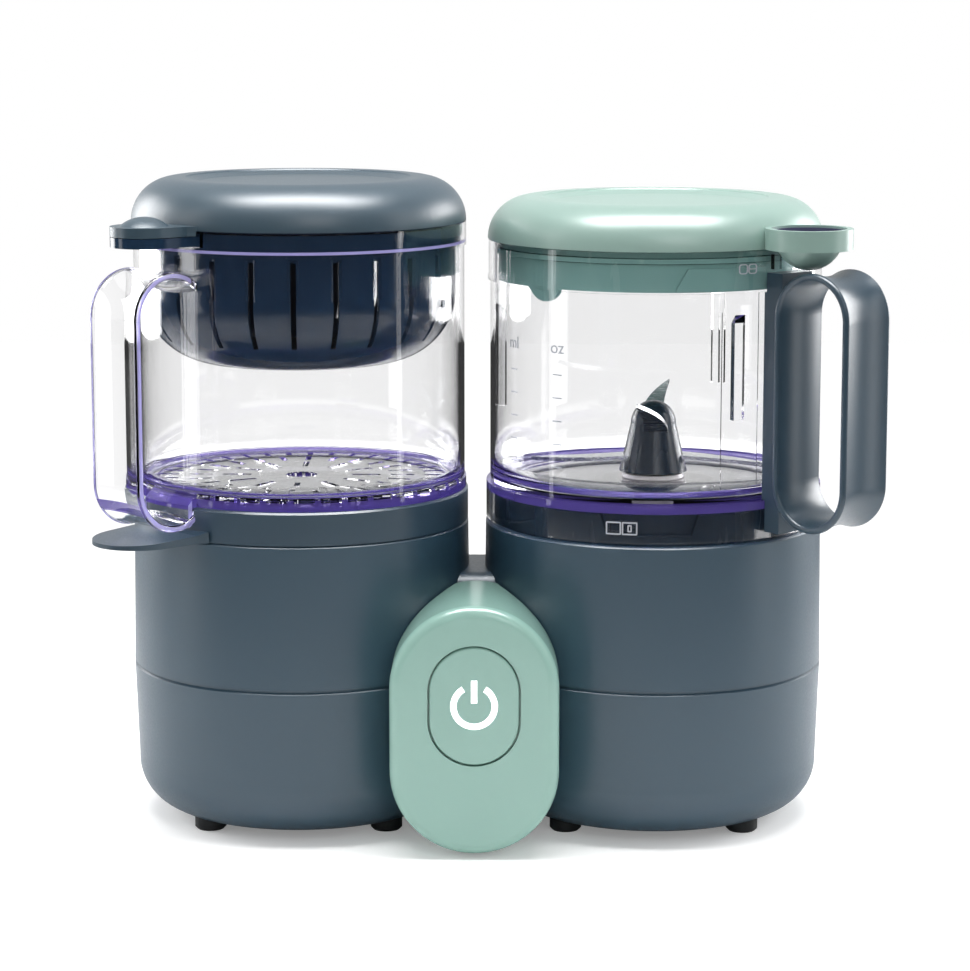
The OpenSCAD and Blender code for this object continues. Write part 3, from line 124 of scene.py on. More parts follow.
def twoTone(material, look, pattern):
    tones = {"data_type": "RGBA", 6: linearColour(look["deep"]), 7: linearColour(look["pale"])}
    return addNode(material, "ShaderNodeMix", tones, {0: pattern}).outputs[2]


def mapped(material, pattern, low, high, span=(0.3, 0.7)):
    ends = {"From Min": span[0], "From Max": span[1], "To Min": low, "To Max": high}
    return addNode(material, "ShaderNodeMapRange", ends, {"Value": pattern}).outputs["Result"]


def relief(material, strength, depthMm, pattern):
    height = {"Strength": strength, "Distance": depthMm * mm}
    return addNode(material, "ShaderNodeBump", height, {"Height": pattern}).outputs["Normal"]


def finished(material, output, settings, colour, sheen, normal=None):
    links = {"Base Color": colour, "Roughness": sheen}
    if normal is not None:
        links["Normal"] = normal
    skin = addNode(material, "ShaderNodeBsdfPrincipled", settings, links)
    plug(material, skin.outputs["BSDF"], output.inputs["Surface"])
    return material


refraction = {"polypropylene": 1.49, "copolyester": 1.54, "rubber": 1.45, "laminate": 1.5, "acrylic": 1.49}


# Injection-moulded ABS from a spark-eroded mould: an even satin skin, whose fine grit breaks up the lamps.
# The real grit is about 0.2 mm, drawn larger so that it shows at this distance.
def sparkGritAbs(name, look):
    material, output, place = newMaterial(name)
    grit = noise(material, look["gritMm"], 3.0, place, Roughness=0.6)
    cloud = noise(material, look["cloudMm"], 2.0, place, Roughness=0.5)
    return finished(material, output, {"IOR": look["ior"]}, twoTone(material, look, cloud),
                    mapped(material, grit, look["roughLow"], look["roughHigh"]),
                    relief(material, look["bump"], 0.06, grit))


# Moulded polypropylene with polished mould walls: a deep tone, a clear soft shine and faint flow lines down the draw.
def polishedPolypropylene(name, look):
    material, output, place = newMaterial(name)
    drawn = addNode(material, "ShaderNodeMapping", {"Scale": (1, 1, 0.12)}, {"Vector": place})
    flow = noise(material, look["flowMm"], 3.0, drawn.outputs["Vector"], Distortion=0.4)
    ripple = noise(material, look["rippleMm"], 1.0, place)
    return finished(material, output, {"IOR": refraction["polypropylene"]}, twoTone(material, look, flow),
                    mapped(material, flow, look["roughLow"], look["roughHigh"]),
                    relief(material, look["bump"], 0.2, ripple))


# Clear copolyester jug walls: water clear across, faint moulding waves. The narrow faces of the loop handle and the
# step under the steamer bowl's rim carry a painted pale lavender highlight, and the thick floor ring a painted violet
# glow of light carried through the resin's violet tint, as in an edge-lit sheet.
def clearCopolyester(name, look):
    material, output, place = newMaterial(name)
    waves = noise(material, look["waveMm"], 1.0, place)
    scuff = noise(material, look["scuffMm"], 4.0, place)
    haze = mapped(material, scuff, look["roughLow"], look["roughHigh"], (0.35, 0.75))
    bend = relief(material, look["bump"], 0.1, waves)

    # distance from whichever bowl axis is nearer: x is folded about the middle between the two
    split = addNode(material, "ShaderNodeSeparateXYZ", None, {0: place}).outputs
    fromMiddle = combine(material, "SUBTRACT", split["X"], (axisSteam.x + axisBlend.x) / 2)
    folded = addNode(material, "ShaderNodeMath", {"operation": "ABSOLUTE"}, {0: fromMiddle}).outputs["Value"]
    across = combine(material, "SUBTRACT", folded, (axisBlend.x - axisSteam.x) / 2)
    along = combine(material, "SUBTRACT", split["Y"], axisBlend.y)
    flat = addNode(material, "ShaderNodeCombineXYZ", None, {"X": across, "Y": along}).outputs["Vector"]
    radius = addNode(material, "ShaderNodeVectorMath", {"operation": "LENGTH"}, {0: flat}).outputs["Value"]

    # the narrow faces of the loop handle, which look along the tangent of its diagonal; a pale lavender highlight is
    # painted on them
    normal = addNode(material, "ShaderNodeNewGeometry").outputs["Normal"]
    sideways = addNode(material, "ShaderNodeVectorMath", {"operation": "DOT_PRODUCT", 1: look["loopFacing"]}, {0: normal})
    size = addNode(material, "ShaderNodeMath", {"operation": "ABSOLUTE"}, {0: sideways.outputs["Value"]}).outputs["Value"]
    narrow = addNode(material, "ShaderNodeMapRange", {"From Min": 0.7, "From Max": 0.85}, {"Value": size}).outputs["Result"]
    beyondWall = combine(material, "GREATER_THAN", radius, look["loopFromMm"] * mm)
    loopEdge = combine(material, "MULTIPLY", narrow, beyondWall)

    # the thick ring where the floor meets the wall, painted with a violet glow of light carried through the resin
    ringLow, ringHigh = look["ringMm"]
    inBand = addNode(material, "ShaderNodeMath",
                     {"operation": "COMPARE", 1: (ringLow + ringHigh) / 2 * mm, 2: (ringHigh - ringLow) / 2 * mm},
                     {0: split["Z"]}).outputs["Value"]
    atWall = combine(material, "GREATER_THAN", radius, look["ringFromMm"] * mm)
    floorRing = combine(material, "MULTIPLY", inBand, atWall)

    # the step under the steamer bowl's rim, painted with the same pale lavender highlight
    atLedge = addNode(material, "ShaderNodeMath", {"operation": "COMPARE", 1: look["ledgeMm"] * mm, 2: 0.5 * mm},
                      {0: split["Z"]}).outputs["Value"]
    onSteamer = combine(material, "LESS_THAN", fromMiddle, 0.0)
    ledge = combine(material, "MULTIPLY", atLedge, onSteamer)
    paintedHighlightEdges = combine(material, "MAXIMUM", loopEdge, ledge)

    # the painted violet glow and the painted pale lavender highlight go into the wall's colour, and make the wall less
    # clear there
    ringGlowTone = addNode(material, "ShaderNodeMix",
                       {"data_type": "RGBA", 6: linearColour(look["tone"]), 7: linearColour(look["ringGlowTone"])},
                       {0: floorRing})
    paintedLightTone = addNode(material, "ShaderNodeMix", {"data_type": "RGBA", 7: linearColour(look["loopHighlightTone"])},
                       {0: paintedHighlightEdges, 6: ringGlowTone.outputs[2]})
    ringClear = addNode(material, "ShaderNodeMapRange", {"To Min": 1.0, "To Max": look["ringClear"]}, {"Value": floorRing})
    clearness = addNode(material, "ShaderNodeMapRange", {"To Max": look["loopClear"]},
                        {"Value": paintedHighlightEdges, "To Min": ringClear.outputs["Result"]})
    wall = addNode(material, "ShaderNodeBsdfPrincipled", {"IOR": refraction["copolyester"]},
                   {"Base Color": paintedLightTone.outputs[2], "Transmission Weight": clearness.outputs["Result"],
                    "Roughness": haze, "Normal": bend})

    # lamps reach what the wall holds
    path = addNode(material, "ShaderNodeLightPath")
    lampClear = addNode(material, "ShaderNodeBsdfTransparent", {"Color": linearColour(look["lampTone"])})
    either = addNode(material, "ShaderNodeMixShader", None,
                     {0: path.outputs["Is Shadow Ray"], 1: wall.outputs["BSDF"], 2: lampClear.outputs["BSDF"]})
    depth = addNode(material, "ShaderNodeVolumeAbsorption",
                    {"Color": linearColour(look["depthTone"]), "Density": look["depthDensity"]})
    plug(material, either.outputs["Shader"], output.inputs["Surface"])
    plug(material, depth.outputs["Volume"], output.inputs["Volume"])
    return material


# Letters and marks raised on a clear wall: the mould is blasted there, so they are frosted.
def frostedCopolyester(name, look):
    material, output, place = newMaterial(name)
    frost = noise(material, look["frostMm"], 3.0, place)
    return finished(material, output, {"IOR": refraction["copolyester"], "Transmission Weight": look["clear"]},
                    twoTone(material, look, frost),
                    mapped(material, frost, look["roughLow"], look["roughHigh"], (0.0, 1.0)))


# Soft rubber and silicone: dull, slightly dusty, with a fine dimple.
def softRubber(name, look):
    material, output, place = newMaterial(name)
    dimple = noise(material, look["dimpleMm"], 3.0, place)
    dust = noise(material, look["dustMm"], 4.0, place)
    return finished(material, output, {"IOR": refraction["rubber"]}, twoTone(material, look, dust),
                    mapped(material, dust, look["roughLow"], look["roughHigh"]),
                    relief(material, look["bump"], 0.1, dimple))


# Metal turned or spun about an upright axis: fine rings that draw each lamp out into a fan.
def turnedMetal(name, look):
    material, output, place = newMaterial(name)
    toAxis = {"Location": (-look["axis"][0], -look["axis"][1], 0)}
    centred = addNode(material, "ShaderNodeMapping", toAxis, {"Vector": place}).outputs["Vector"]
    flat = addNode(material, "ShaderNodeVectorMath", {"operation": "MULTIPLY", 1: (1, 1, 0.35)}, {0: centred})
    radius = addNode(material, "ShaderNodeVectorMath", {"operation": "LENGTH"}, {0: flat.outputs["Vector"]})
    rings = addNode(material, "ShaderNodeTexNoise",
                    {"noise_dimensions": "1D", "Scale": 1 / (look["ringMm"] * mm), "Detail": 4.0},
                    {"W": radius.outputs["Value"]}).outputs["Fac"]
    return finished(material, output, {"Metallic": 1.0}, twoTone(material, look, rings),
                    mapped(material, rings, look["roughLow"], look["roughHigh"]),
                    relief(material, look["bump"], 0.05, rings))


# Metal with no grain direction, such as plated screws, a cast plate or sintered bushes: mottled, softly bright.
def mottledMetal(name, look):
    material, output, place = newMaterial(name)
    grain = noise(material, look["grainMm"], 4.0, place)
    patch = addNode(material, "ShaderNodeTexVoronoi", {"Scale": 1 / (look["patchMm"] * mm)}, {"Vector": place})
    mottle = combine(material, "MULTIPLY", grain, patch.outputs["Distance"])
    return finished(material, output, {"Metallic": 1.0}, twoTone(material, look, grain),
                    mapped(material, mottle, look["roughLow"], look["roughHigh"], (0.1, 0.5)),
                    relief(material, look["bump"], 0.08, grain))


# Blades ground on a belt: straight scratches across the strip.
def groundBladeSteel(name, look):
    material, output, place = newMaterial(name)
    stretched = addNode(material, "ShaderNodeMapping", {"Scale": (0.08, 1, 1)}, {"Vector": place})
    scratch = noise(material, look["scratchMm"], 5.0, stretched.outputs["Vector"])
    return finished(material, output, {"Metallic": 1.0}, twoTone(material, look, scratch),
                    mapped(material, scratch, look["roughLow"], look["roughHigh"]),
                    relief(material, look["bump"], 0.04, scratch))


# Glass-fibre board under green solder mask: copper tracks show as slightly paler straight runs.
def solderMaskedBoard(name, look):
    material, output, place = newMaterial(name)
    tracks = addNode(material, "ShaderNodeTexBrick",
                     {"Scale": 1.0, "Brick Width": look["trackMm"][0] * mm, "Row Height": look["trackMm"][1] * mm,
                      "Mortar Size": look["gapMm"] * mm, "Color1": linearColour(look["deep"]),
                      "Color2": linearColour(look["pale"]), "Mortar": linearColour(look["track"])}, {"Vector": place})
    weave = noise(material, look["weaveMm"], 2.0, place)
    return finished(material, output, {"IOR": refraction["laminate"]}, tracks.outputs["Color"],
                    mapped(material, weave, look["roughLow"], look["roughHigh"], (0.0, 1.0)),
                    relief(material, look["bump"], 0.05, weave))


# White light guide with the lamp behind it: its glow drifts unevenly between two levels.
def litAcrylic(name, look):
    material, output, place = newMaterial(name)
    spread = noise(material, look["spreadMm"], 1.0, place)
    glow = mapped(material, spread, look["glowLow"], look["glowHigh"])
    skin = addNode(material, "ShaderNodeBsdfPrincipled",
                   {"IOR": refraction["acrylic"], "Roughness": 0.35, "Emission Color": linearColour(look["pale"])},
                   {"Base Color": twoTone(material, look, spread), "Emission Strength": glow})
    plug(material, skin.outputs["BSDF"], output.inputs["Surface"])
    return material


def middleOf(nodeName):
    low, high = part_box(nodeName)
    return (low + high) / 2


# the upright axes of the two bowls, from round pieces that stand on them
axisBlend = middleOf("motor_can")
axisSteam = middleOf("heating_plate")
axisSteam.y = axisBlend.y

finishes = {
    "slateAbs": sparkGritAbs("slate spark-grit ABS", {
        "deep": "#263F4F", "pale": "#2C4757", "ior": 1.66, "gritMm": 0.8, "cloudMm": 70,
        "roughLow": 0.34, "roughHigh": 0.44, "bump": 0.16}),
    "slateHandleAbs": sparkGritAbs("slate handle ABS", {
        "deep": "#263B49", "pale": "#2C4251", "ior": 1.66, "gritMm": 0.7, "cloudMm": 40,
        "roughLow": 0.28, "roughHigh": 0.38, "bump": 0.14}),
    "slateLidAbs": sparkGritAbs("slate lid ABS", {
        "deep": "#2A4250", "pale": "#304856", "ior": 1.75, "gritMm": 0.7, "cloudMm": 60,
        "roughLow": 0.35, "roughHigh": 0.42, "bump": 0.12}),
    "mintLidAbs": sparkGritAbs("mint lid ABS", {
        "deep": "#88A59C", "pale": "#8FABA2", "ior": 1.75, "gritMm": 0.7, "cloudMm": 60,
        "roughLow": 0.3, "roughHigh": 0.37, "bump": 0.1}),
    "mintPanelAbs": sparkGritAbs("mint panel ABS", {
        "deep": "#8BB1A6", "pale": "#92B7AC", "ior": 1.6, "gritMm": 0.6, "cloudMm": 50,
        "roughLow": 0.2, "roughHigh": 0.27, "bump": 0.05}),
    "mintLiner": polishedPolypropylene("mint lid liner polypropylene", {
        "deep": "#7DA8A1", "pale": "#86AFA8", "flowMm": 9, "rippleMm": 12,
        "roughLow": 0.2, "roughHigh": 0.3, "bump": 0.08}),
    "navyBasket": polishedPolypropylene("navy basket polypropylene", {
        "deep": "#1A2D42", "pale": "#21364C", "flowMm": 7, "rippleMm": 11,
        "roughLow": 0.1, "roughHigh": 0.18, "bump": 0.08}),
    "darkSeat": polishedPolypropylene("dark seat polypropylene", {
        "deep": "#12212E", "pale": "#182937", "flowMm": 8, "rippleMm": 10,
        "roughLow": 0.2, "roughHigh": 0.3, "bump": 0.1}),
    # the cup liner's dark grey-violet is partly its own tone and partly painted shade, darkening the inside of the cup
    "cupLinerAndShade": polishedPolypropylene("violet cup liner", {
        "deep": "#4B4A63", "pale": "#575672", "flowMm": 5, "rippleMm": 7,
        "roughLow": 0.12, "roughHigh": 0.2, "bump": 0.05}),
    "clearJug": clearCopolyester("clear jug copolyester", {
        "tone": "#FFFFFF", "lampTone": "#F1F0F6", "depthTone": "#A398F0", "depthDensity": 2.0, "waveMm": 16, "scuffMm": 5,
        "roughLow": 0.0, "roughHigh": 0.03, "bump": 0.05, "loopFacing": (0.7071, -0.7071, 0), "loopFromMm": 65.5,
        "loopHighlightTone": "#BDB8F2", "loopClear": 0.35, "ringMm": (127.0, 130.8), "ringFromMm": 55, "ringGlowTone": "#6455A8",
        "ringClear": 0.5, "ledgeMm": 221.8}),
    "frostedMark": frostedCopolyester("frosted copolyester mark", {
        "deep": "#B4B8C2", "pale": "#D6D8DE", "frostMm": 0.5, "roughLow": 0.25, "roughHigh": 0.5, "clear": 0.3}),
    "footRubber": softRubber("foot rubber", {
        "deep": "#17191B", "pale": "#232628", "dimpleMm": 0.8, "dustMm": 6,
        "roughLow": 0.6, "roughHigh": 0.8, "bump": 0.3}),
    "sealSilicone": softRubber("seal silicone", {
        "deep": "#C3C8C9", "pale": "#D6DADA", "dimpleMm": 0.6, "dustMm": 5,
        "roughLow": 0.38, "roughHigh": 0.5, "bump": 0.15}),
    "spunSteam": turnedMetal("spun stainless dish", {
        "axis": axisSteam, "deep": "#AEB1B3", "pale": "#D2D4D5", "ringMm": 0.8,
        "roughLow": 0.2, "roughHigh": 0.34, "bump": 0.3}),
    "turnedBlend": turnedMetal("turned stainless shaft", {
        "axis": axisBlend, "deep": "#B3B6B8", "pale": "#D4D6D7", "ringMm": 0.5,
        "roughLow": 0.18, "roughHigh": 0.3, "bump": 0.2}),
    "bladeSteel": groundBladeSteel("ground blade steel", {
        "deep": "#B4B8BA", "pale": "#DADCDD", "scratchMm": 0.6, "roughLow": 0.16, "roughHigh": 0.3, "bump": 0.25}),
    "springSteel": mottledMetal("spring steel", {
        "deep": "#8B8D8F", "pale": "#B9BBBC", "grainMm": 0.5, "patchMm": 2,
        "roughLow": 0.25, "roughHigh": 0.4, "bump": 0.1}),
    "zincScrew": mottledMetal("zinc-plated screw steel", {
        "deep": "#8C8E90", "pale": "#B4B6B8", "grainMm": 0.6, "patchMm": 2.5,
        "roughLow": 0.28, "roughHigh": 0.42, "bump": 0.15}),
    "castAlloy": mottledMetal("cast aluminium alloy", {
        "deep": "#94969A", "pale": "#B7B9BC", "grainMm": 1.2, "patchMm": 4,
        "roughLow": 0.42, "roughHigh": 0.6, "bump": 0.5}),
    "bronzeBush": mottledMetal("sintered bronze bush", {
        "deep": "#8A6B3C", "pale": "#B7925A", "grainMm": 0.5, "patchMm": 1.5,
        "roughLow": 0.35, "roughHigh": 0.55, "bump": 0.35}),
    "copperWinding": turnedMetal("varnished copper winding", {
        "axis": axisBlend, "deep": "#6E3C1E", "pale": "#B06A3A", "ringMm": 0.7,
        "roughLow": 0.25, "roughHigh": 0.4, "bump": 0.6}),
    "boardGreen": solderMaskedBoard("solder-masked board", {
        "deep": "#1E5B38", "pale": "#256642", "track": "#3C8256", "trackMm": (9, 2.4), "gapMm": 0.35,
        "weaveMm": 0.9, "roughLow": 0.3, "roughHigh": 0.5, "bump": 0.2}),
    "blackNylon": polishedPolypropylene("black nylon", {
        "deep": "#141618", "pale": "#1D2022", "flowMm": 5, "rippleMm": 6,
        "roughLow": 0.35, "roughHigh": 0.5, "bump": 0.15}),
    "paleAcetal": polishedPolypropylene("pale acetal", {
        "deep": "#D9D7D0", "pale": "#E8E6E0", "flowMm": 5, "rippleMm": 6,
        "roughLow": 0.28, "roughHigh": 0.4, "bump": 0.08}),
    "litSymbol": litAcrylic("lit white acrylic", {
        "deep": "#E8ECEA", "pale": "#FFFFFF", "spreadMm": 9, "glowLow": 0.75, "glowHigh": 0.95}),
    "lampDome": litAcrylic("warm lamp dome", {
        "deep": "#EFE9D8", "pale": "#FFF8E6", "spreadMm": 3, "glowLow": 0.6, "glowHigh": 0.9}),
}
print("finishes made:", len(finishes))

slotFinish = {
    "slate_abs": "slateAbs", "mint_abs": "mintPanelAbs", "slate_soft": "darkSeat", "clear_tritan": "clearJug",
    "mint_liner": "mintLiner", "violet_liner": "cupLinerAndShade", "foot_rubber": "footRubber", "seal_silicone": "sealSilicone",
    "steel": "turnedBlend", "screw_steel": "zincScrew", "cast_alloy": "castAlloy", "board": "boardGreen",
    "black_plastic": "blackNylon", "pale_nylon": "paleAcetal", "bronze": "bronzeBush", "winding": "copperWinding",
    "lit_white": "litSymbol", "lamp": "lampDome",
}
nodeFinish = {
    "blender_handle": "slateHandleAbs", "drip_ring": "slateHandleAbs", "steamer_lid": "slateLidAbs",
    "blender_lid": "mintLidAbs", "steamer_basket": "navyBasket", "steamer_lid_liner": "navyBasket",
    "heating_plate": "spunSteam", "lower_blades": "bladeSteel", "upper_blades": "bladeSteel", "button_spring": "springSteel",
}
nodeSlot = {part["node"]: part["material_slot"] for part in frame["record"]["subparts"]}
for nodeName, node in partNodes.items():
    finish = nodeFinish.get(nodeName) or slotFinish[nodeSlot[nodeName]]
    node.data.materials.clear()
    node.data.materials.append(finishes[finish])
print("finishes laid on all solids")


# raised marks on the blender bowl

# turn a piece drawn flat in XY, facing +Z, so that it faces out from the bowl, and leave it there
def layOnBowl(piece, azimuth, radiusMm, heightMm):
    turn = math.radians(azimuth)
    piece.rotation_euler = (math.radians(90), 0, turn)
    piece.location = (axisBlend.x + radiusMm * mm * math.sin(turn), axisBlend.y - radiusMm * mm * math.cos(turn),
                      heightMm * mm)
    bpy.ops.object.select_all(action="DESELECT")
    piece.select_set(True)
    bpy.context.view_layer.objects.active = piece
    bpy.ops.object.transform_apply(location=True, rotation=True, scale=True)
    piece.data.materials.clear()
    piece.data.materials.append(finishes["frostedMark"])
    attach(piece, "blender_jug")


# units of the two measuring scales, with a short line for each step below them
scale = {"units": (("ml", -58.4), ("oz", -36.9)), "topMm": 184.4, "letterMm": 6.4, "reliefMm": 0.12, "wallMm": 62.5,
         "steps": 5, "stepMm": 8.6, "lineMm": (4.2, 0.45), "firstMm": 176.5, "edgeMm": 0.08, "curveSteps": 4}
for unit, azimuth in scale["units"]:
    bpy.ops.object.text_add(location=(0, 0, 0))
    letters = bpy.context.object
    letters.name = "mark_" + unit
    letters.data.body = unit
    letters.data.align_x = "CENTER"
    letters.data.size = scale["letterMm"] * mm
    letters.data.extrude = scale["reliefMm"] * mm
    letters.data.resolution_u = scale["curveSteps"]
    bpy.ops.object.convert(target="MESH")
    layOnBowl(bpy.context.object, azimuth, scale["wallMm"], scale["topMm"])
    for step in range(scale["steps"]):
        bpy.ops.mesh.primitive_cube_add(size=1, location=(0, 0, 0))
        line = bpy.context.object
        line.name = "mark_%s_line_%d" % (unit, step + 1)
        line.scale = (scale["lineMm"][0] * mm, scale["lineMm"][1] * mm, 2 * scale["reliefMm"] * mm)
        bpy.ops.object.transform_apply(location=False, rotation=False, scale=True)
        bpy.ops.object.mode_set(mode="EDIT")
        bpy.ops.mesh.bevel(offset=scale["edgeMm"] * mm, segments=2, affect="EDGES")
        bpy.ops.object.mode_set(mode="OBJECT")
        layOnBowl(line, azimuth, scale["wallMm"], scale["firstMm"] - step * scale["stepMm"])
print("measuring marks done")


# a raised outline of a rounded rectangle, drawn flat
def roundedFrame(name, widthMm, heightMm, cornerMm, lineMm, reliefMm):
    bpy.ops.mesh.primitive_plane_add(size=1, location=(0, 0, 0))
    frameMark = bpy.context.object
    frameMark.name = name
    frameMark.scale = (widthMm * mm, heightMm * mm, 1)
    bpy.ops.object.transform_apply(location=False, rotation=False, scale=True)
    bpy.ops.object.mode_set(mode="EDIT")
    bpy.ops.mesh.select_all(action="SELECT")
    bpy.ops.mesh.bevel(offset=cornerMm * mm, segments=5, affect="VERTICES")
    bpy.ops.mesh.select_all(action="SELECT")
    bpy.ops.mesh.inset(thickness=lineMm * mm)
    bpy.ops.mesh.delete(type="FACE")
    bpy.ops.object.mode_set(mode="OBJECT")
    thick = frameMark.modifiers.new("relief", "SOLIDIFY")
    thick.thickness = 2 * reliefMm * mm
    thick.offset = 0
    bpy.ops.object.modifier_apply(modifier=thick.name)
    return frameMark


# the lock sign: an open and a closed half side by side, small on the rim and large on the skirt
lockMarks = {
    "rim": {"azimuth": 29.8, "radiusMm": 63.25, "atMm": 215.9, "halfMm": (3.7, 3.7), "apartMm": 4.0, "cornerMm": 1.1,
            "lineMm": 0.4, "reliefMm": 0.14, "barMm": (2.4, 0.5), "barCornerMm": 0.1, "barLineMm": 0.15},
    "skirt": {"azimuth": -12.6, "radiusMm": 64.0, "atMm": 121.7, "halfMm": (5.7, 4.8), "apartMm": 6.0, "cornerMm": 0.4,
              "lineMm": 0.5, "reliefMm": 0.2, "barMm": (1.6, 2.6), "barCornerMm": 0.32, "barLineMm": 0.48},
}
for place, look in lockMarks.items():
    for side in (-1, 1):
        half = roundedFrame("lock_mark_%s_%s" % (place, "open" if side < 0 else "closed"), look["halfMm"][0],
                            look["halfMm"][1], look["cornerMm"], look["lineMm"], look["reliefMm"])
        step = math.degrees(side * look["apartMm"] / 2 / look["radiusMm"])
        layOnBowl(half, look["azimuth"] + step, look["radiusMm"], look["atMm"])
    bolt = roundedFrame("lock_mark_%s_bolt" % place, look["barMm"][0], look["barMm"][1], look["barCornerMm"],
                        look["barLineMm"], look["reliefMm"])
    layOnBowl(bolt, look["azimuth"] + step, look["radiusMm"], look["atMm"])  # on the closed half
print("lock marks done")


# the button's return spring, which shortens as the button goes in
returnSpring = {"coilMm": 5.2, "wireMm": 0.4, "turns": 5, "stepsPerTurn": 20, "wireSides": 8, "seatMm": 0.5,
                "weldMm": 0.01}

springLow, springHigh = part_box("button_spring")
springAt = middleOf("button_spring")
springLong = springHigh.y - springLow.y - 2 * returnSpring["wireMm"] * mm

# one round of wire upright beside the axis, wound up Z by a screw and closed at both ends
bpy.ops.mesh.primitive_circle_add(vertices=returnSpring["wireSides"], radius=returnSpring["wireMm"] * mm,
                                  location=(returnSpring["coilMm"] * mm, 0, -springLong / 2),
                                  rotation=(math.pi / 2, 0, 0))
coil = bpy.context.object
coil.name = "return_spring"
bpy.ops.object.transform_apply(location=True, rotation=True, scale=True)
winding = coil.modifiers.new("winding", "SCREW")
winding.axis = "Z"
winding.angle = 2 * math.pi
winding.screw_offset = springLong / returnSpring["turns"]
winding.iterations = returnSpring["turns"]
winding.steps = winding.render_steps = returnSpring["stepsPerTurn"]
bpy.ops.object.modifier_apply(modifier=winding.name)
bpy.ops.object.mode_set(mode="EDIT")
bpy.ops.mesh.select_all(action="SELECT")
bpy.ops.mesh.remove_doubles(threshold=returnSpring["weldMm"] * mm)
bpy.ops.mesh.fill_holes(sides=returnSpring["wireSides"])
bpy.ops.mesh.select_all(action="SELECT")
bpy.ops.mesh.normals_make_consistent(inside=False)
bpy.ops.object.mode_set(mode="OBJECT")
bpy.ops.object.shade_smooth()
bpy.ops.transform.rotate(value=math.pi / 2, orient_axis="X", center_override=(0, 0, 0))
coil.location = springAt
bpy.ops.object.transform_apply(location=True, rotation=True, scale=True)
coil.data.materials.append(finishes["springSteel"])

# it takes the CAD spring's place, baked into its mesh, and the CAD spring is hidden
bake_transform(coil)
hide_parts("button_spring")
bpy.ops.object.select_all(action="DESELECT")
print("return spring done")


# studio: floor, wall, lamps and camera

# the floor's white fades to a painted dark grey between near and far, so upright walls mirror a darker room in front;
# rays from the camera see it lifted to white
studio = {"floorSize": 12.0, "near": 0.34, "far": 0.7, "ambient": 0.48, "roomSheen": 0.16, "lift": 0.22,
          "wallAt": 1.5, "wallSize": (5.0, 3.2), "wallGlow": 1.0, "wallSheen": 0.75, "innerSheen": 0.5,
          "grainScale": 300.0, "whites": ("#F0F0F0", "#F4F4F4"), "dark": "#303030"}

bpy.ops.mesh.primitive_plane_add(size=studio["floorSize"], location=(0, 0, 0))
floor = bpy.context.object
floor.name = "studio_floor"
floorPaint, floorOut, floorPlace = newMaterial("white studio floor")
floorGrain = addNode(floorPaint, "ShaderNodeTexNoise", {"Scale": studio["grainScale"], "Detail": 2.0},
                     {"Vector": floorPlace})
floorTone = addNode(floorPaint, "ShaderNodeMix",
                    {"data_type": "RGBA", 6: linearColour(studio["whites"][0]), 7: linearColour(studio["whites"][1])},
                    {0: floorGrain.outputs["Fac"]})
floorReach = addNode(floorPaint, "ShaderNodeVectorMath", {"operation": "LENGTH"}, {0: floorPlace})
floorFade = addNode(floorPaint, "ShaderNodeMapRange",
                    {"interpolation_type": "SMOOTHSTEP", "From Min": studio["near"], "From Max": studio["far"]},
                    {"Value": floorReach.outputs["Value"]})
# painted dark grey on the far floor, seen in reflections and bounced light
floorShade = addNode(floorPaint, "ShaderNodeMix", {"data_type": "RGBA", 7: linearColour(studio["dark"])},
                     {0: floorFade.outputs["Result"], 6: floorTone.outputs[2]})
floorMatte = addNode(floorPaint, "ShaderNodeBsdfDiffuse", None, {"Color": floorShade.outputs[2]})
farLift = addNode(floorPaint, "ShaderNodeMapRange", {"To Min": studio["lift"], "To Max": 1.0},
                  {"Value": floorFade.outputs["Result"]})
liftAmount = combine(floorPaint, "MULTIPLY", seenByCamera(floorPaint), farLift.outputs["Result"])
floorGlow = addNode(floorPaint, "ShaderNodeEmission", {"Color": (1, 1, 1, 1)}, {"Strength": liftAmount})
floorSum = addNode(floorPaint, "ShaderNodeAddShader", None,
                   {0: floorMatte.outputs["BSDF"], 1: floorGlow.outputs["Emission"]})
plug(floorPaint, floorSum.outputs["Shader"], floorOut.inputs["Surface"])
floor.data.materials.append(floorPaint)

bpy.ops.mesh.primitive_plane_add(size=1, location=(0, studio["wallAt"], studio["wallSize"][1] / 2),
                                 rotation=(math.radians(90), 0, 0))
wall = bpy.context.object
wall.name = "studio_wall"
wall.scale = (studio["wallSize"][0], studio["wallSize"][1], 1)
bpy.ops.object.transform_apply(location=True, rotation=True, scale=True)
wallPaint, wallOut = newMaterial("white studio wall")[:2]
wallLevel = addNode(wallPaint, "ShaderNodeMapRange", {"To Min": studio["wallGlow"], "To Max": studio["wallSheen"]},
                    {"Value": justMirrored(wallPaint)})
wallWhite = addNode(wallPaint, "ShaderNodeEmission", {"Color": (1, 1, 1, 1)}, {"Strength": wallLevel.outputs["Result"]})
plug(wallPaint, wallWhite.outputs["Emission"], wallOut.inputs["Surface"])
wall.data.materials.append(wallPaint)

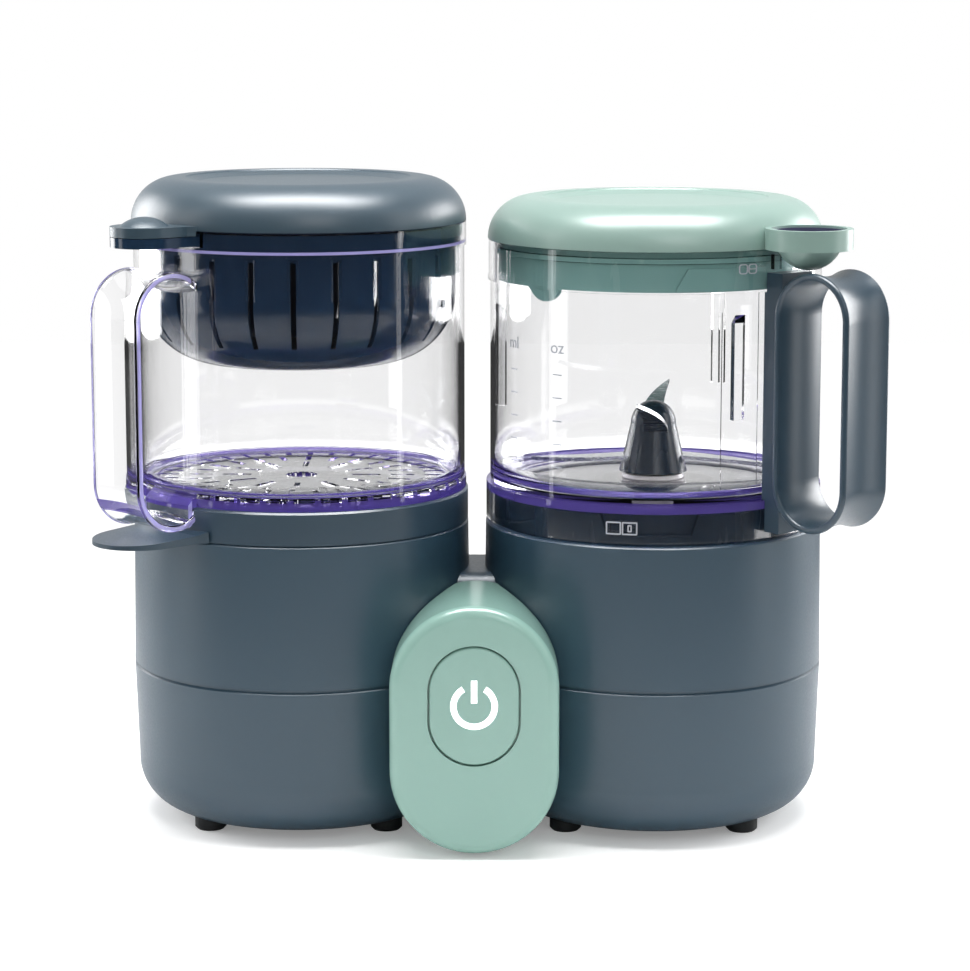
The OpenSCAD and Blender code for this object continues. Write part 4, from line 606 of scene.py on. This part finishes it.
world = bpy.data.worlds.new("white studio")
bpy.context.scene.world = world
world.use_nodes = True
world.node_tree.nodes.clear()
worldOut = addNode(world, "ShaderNodeOutputWorld")
worldPath = addNode(world, "ShaderNodeLightPath")
noBounce = combine(world, "LESS_THAN", worldPath.outputs["Diffuse Depth"], 0.5)
inWalls = combine(world, "MULTIPLY", noBounce, worldPath.outputs["Is Transmission Ray"])
innerLevel = addNode(world, "ShaderNodeMapRange", {"To Min": studio["ambient"], "To Max": studio["innerSheen"]},
                     {"Value": inWalls})
worldLevel = addNode(world, "ShaderNodeMapRange", {"To Max": studio["roomSheen"]},
                     {"Value": justMirrored(world), "To Min": innerLevel.outputs["Result"]})
worldShown = addNode(world, "ShaderNodeMapRange", {"To Max": 1.0},
                     {"Value": seenByCamera(world), "To Min": worldLevel.outputs["Result"]})
worldGlow = addNode(world, "ShaderNodeBackground", {"Color": (1, 1, 1, 1)}, {"Strength": worldShown.outputs["Result"]})
plug(world, worldGlow.outputs["Background"], worldOut.inputs["Surface"])

lamps = {
    "top": {"at": (0.0, -0.12, 1.4), "aim": (0, 0, 0.15), "size": (1.2, 0.4), "watts": 17},
    "topSheen": {"at": (0.0, -0.14, 1.38), "aim": (0, 0, 0.15), "size": (1.3, 0.55), "watts": 24, "onlyMirrored": True},
    "left": {"at": (-0.64, -0.14, 0.38), "aim": (-0.05, 0, 0.38), "size": (0.13, 0.74), "watts": 0.8},
    "right": {"at": (0.64, -0.14, 0.38), "aim": (0.05, 0, 0.38), "size": (0.13, 0.74), "watts": 0.8},
    "rearLeft": {"at": (-1.2, 0.75, 0.41), "aim": (-0.05, 0, 0.12), "size": (0.8, 0.8), "watts": 16},
    "rearRight": {"at": (1.2, 0.75, 0.41), "aim": (0.05, 0, 0.12), "size": (0.8, 0.8), "watts": 16},
    "front": {"at": (0.5, -1.9, 1.2), "aim": (0, 0, 0.12), "size": (0.8, 0.8), "watts": 5.6},
}
for lampName, lamp in lamps.items():
    bpy.ops.object.light_add(type="AREA", location=lamp["at"])
    light = bpy.context.object
    light.name = lampName + "_softbox"
    light.rotation_euler = (Vector(lamp["aim"]) - Vector(lamp["at"])).to_track_quat("-Z", "Y").to_euler()
    light.data.shape = "RECTANGLE"
    light.data.size, light.data.size_y = lamp["size"]
    light.data.energy = lamp["watts"]
    light.visible_camera = False
    light.visible_diffuse = not lamp.get("onlyMirrored", False)

lens = {"place": (0.01322, -1.14662, 0.3229), "tilt": 9.631, "turn": 0.719, "length": 112.78, "film": 36.0}
bpy.ops.object.camera_add(location=lens["place"],
                          rotation=(math.radians(90 - lens["tilt"]), 0, math.radians(lens["turn"])))
camera = bpy.context.object
camera.data.lens = lens["length"]
camera.data.sensor_width = lens["film"]
bpy.context.scene.camera = camera
bpy.context.scene.view_settings.view_transform = "Standard"
print("studio set")
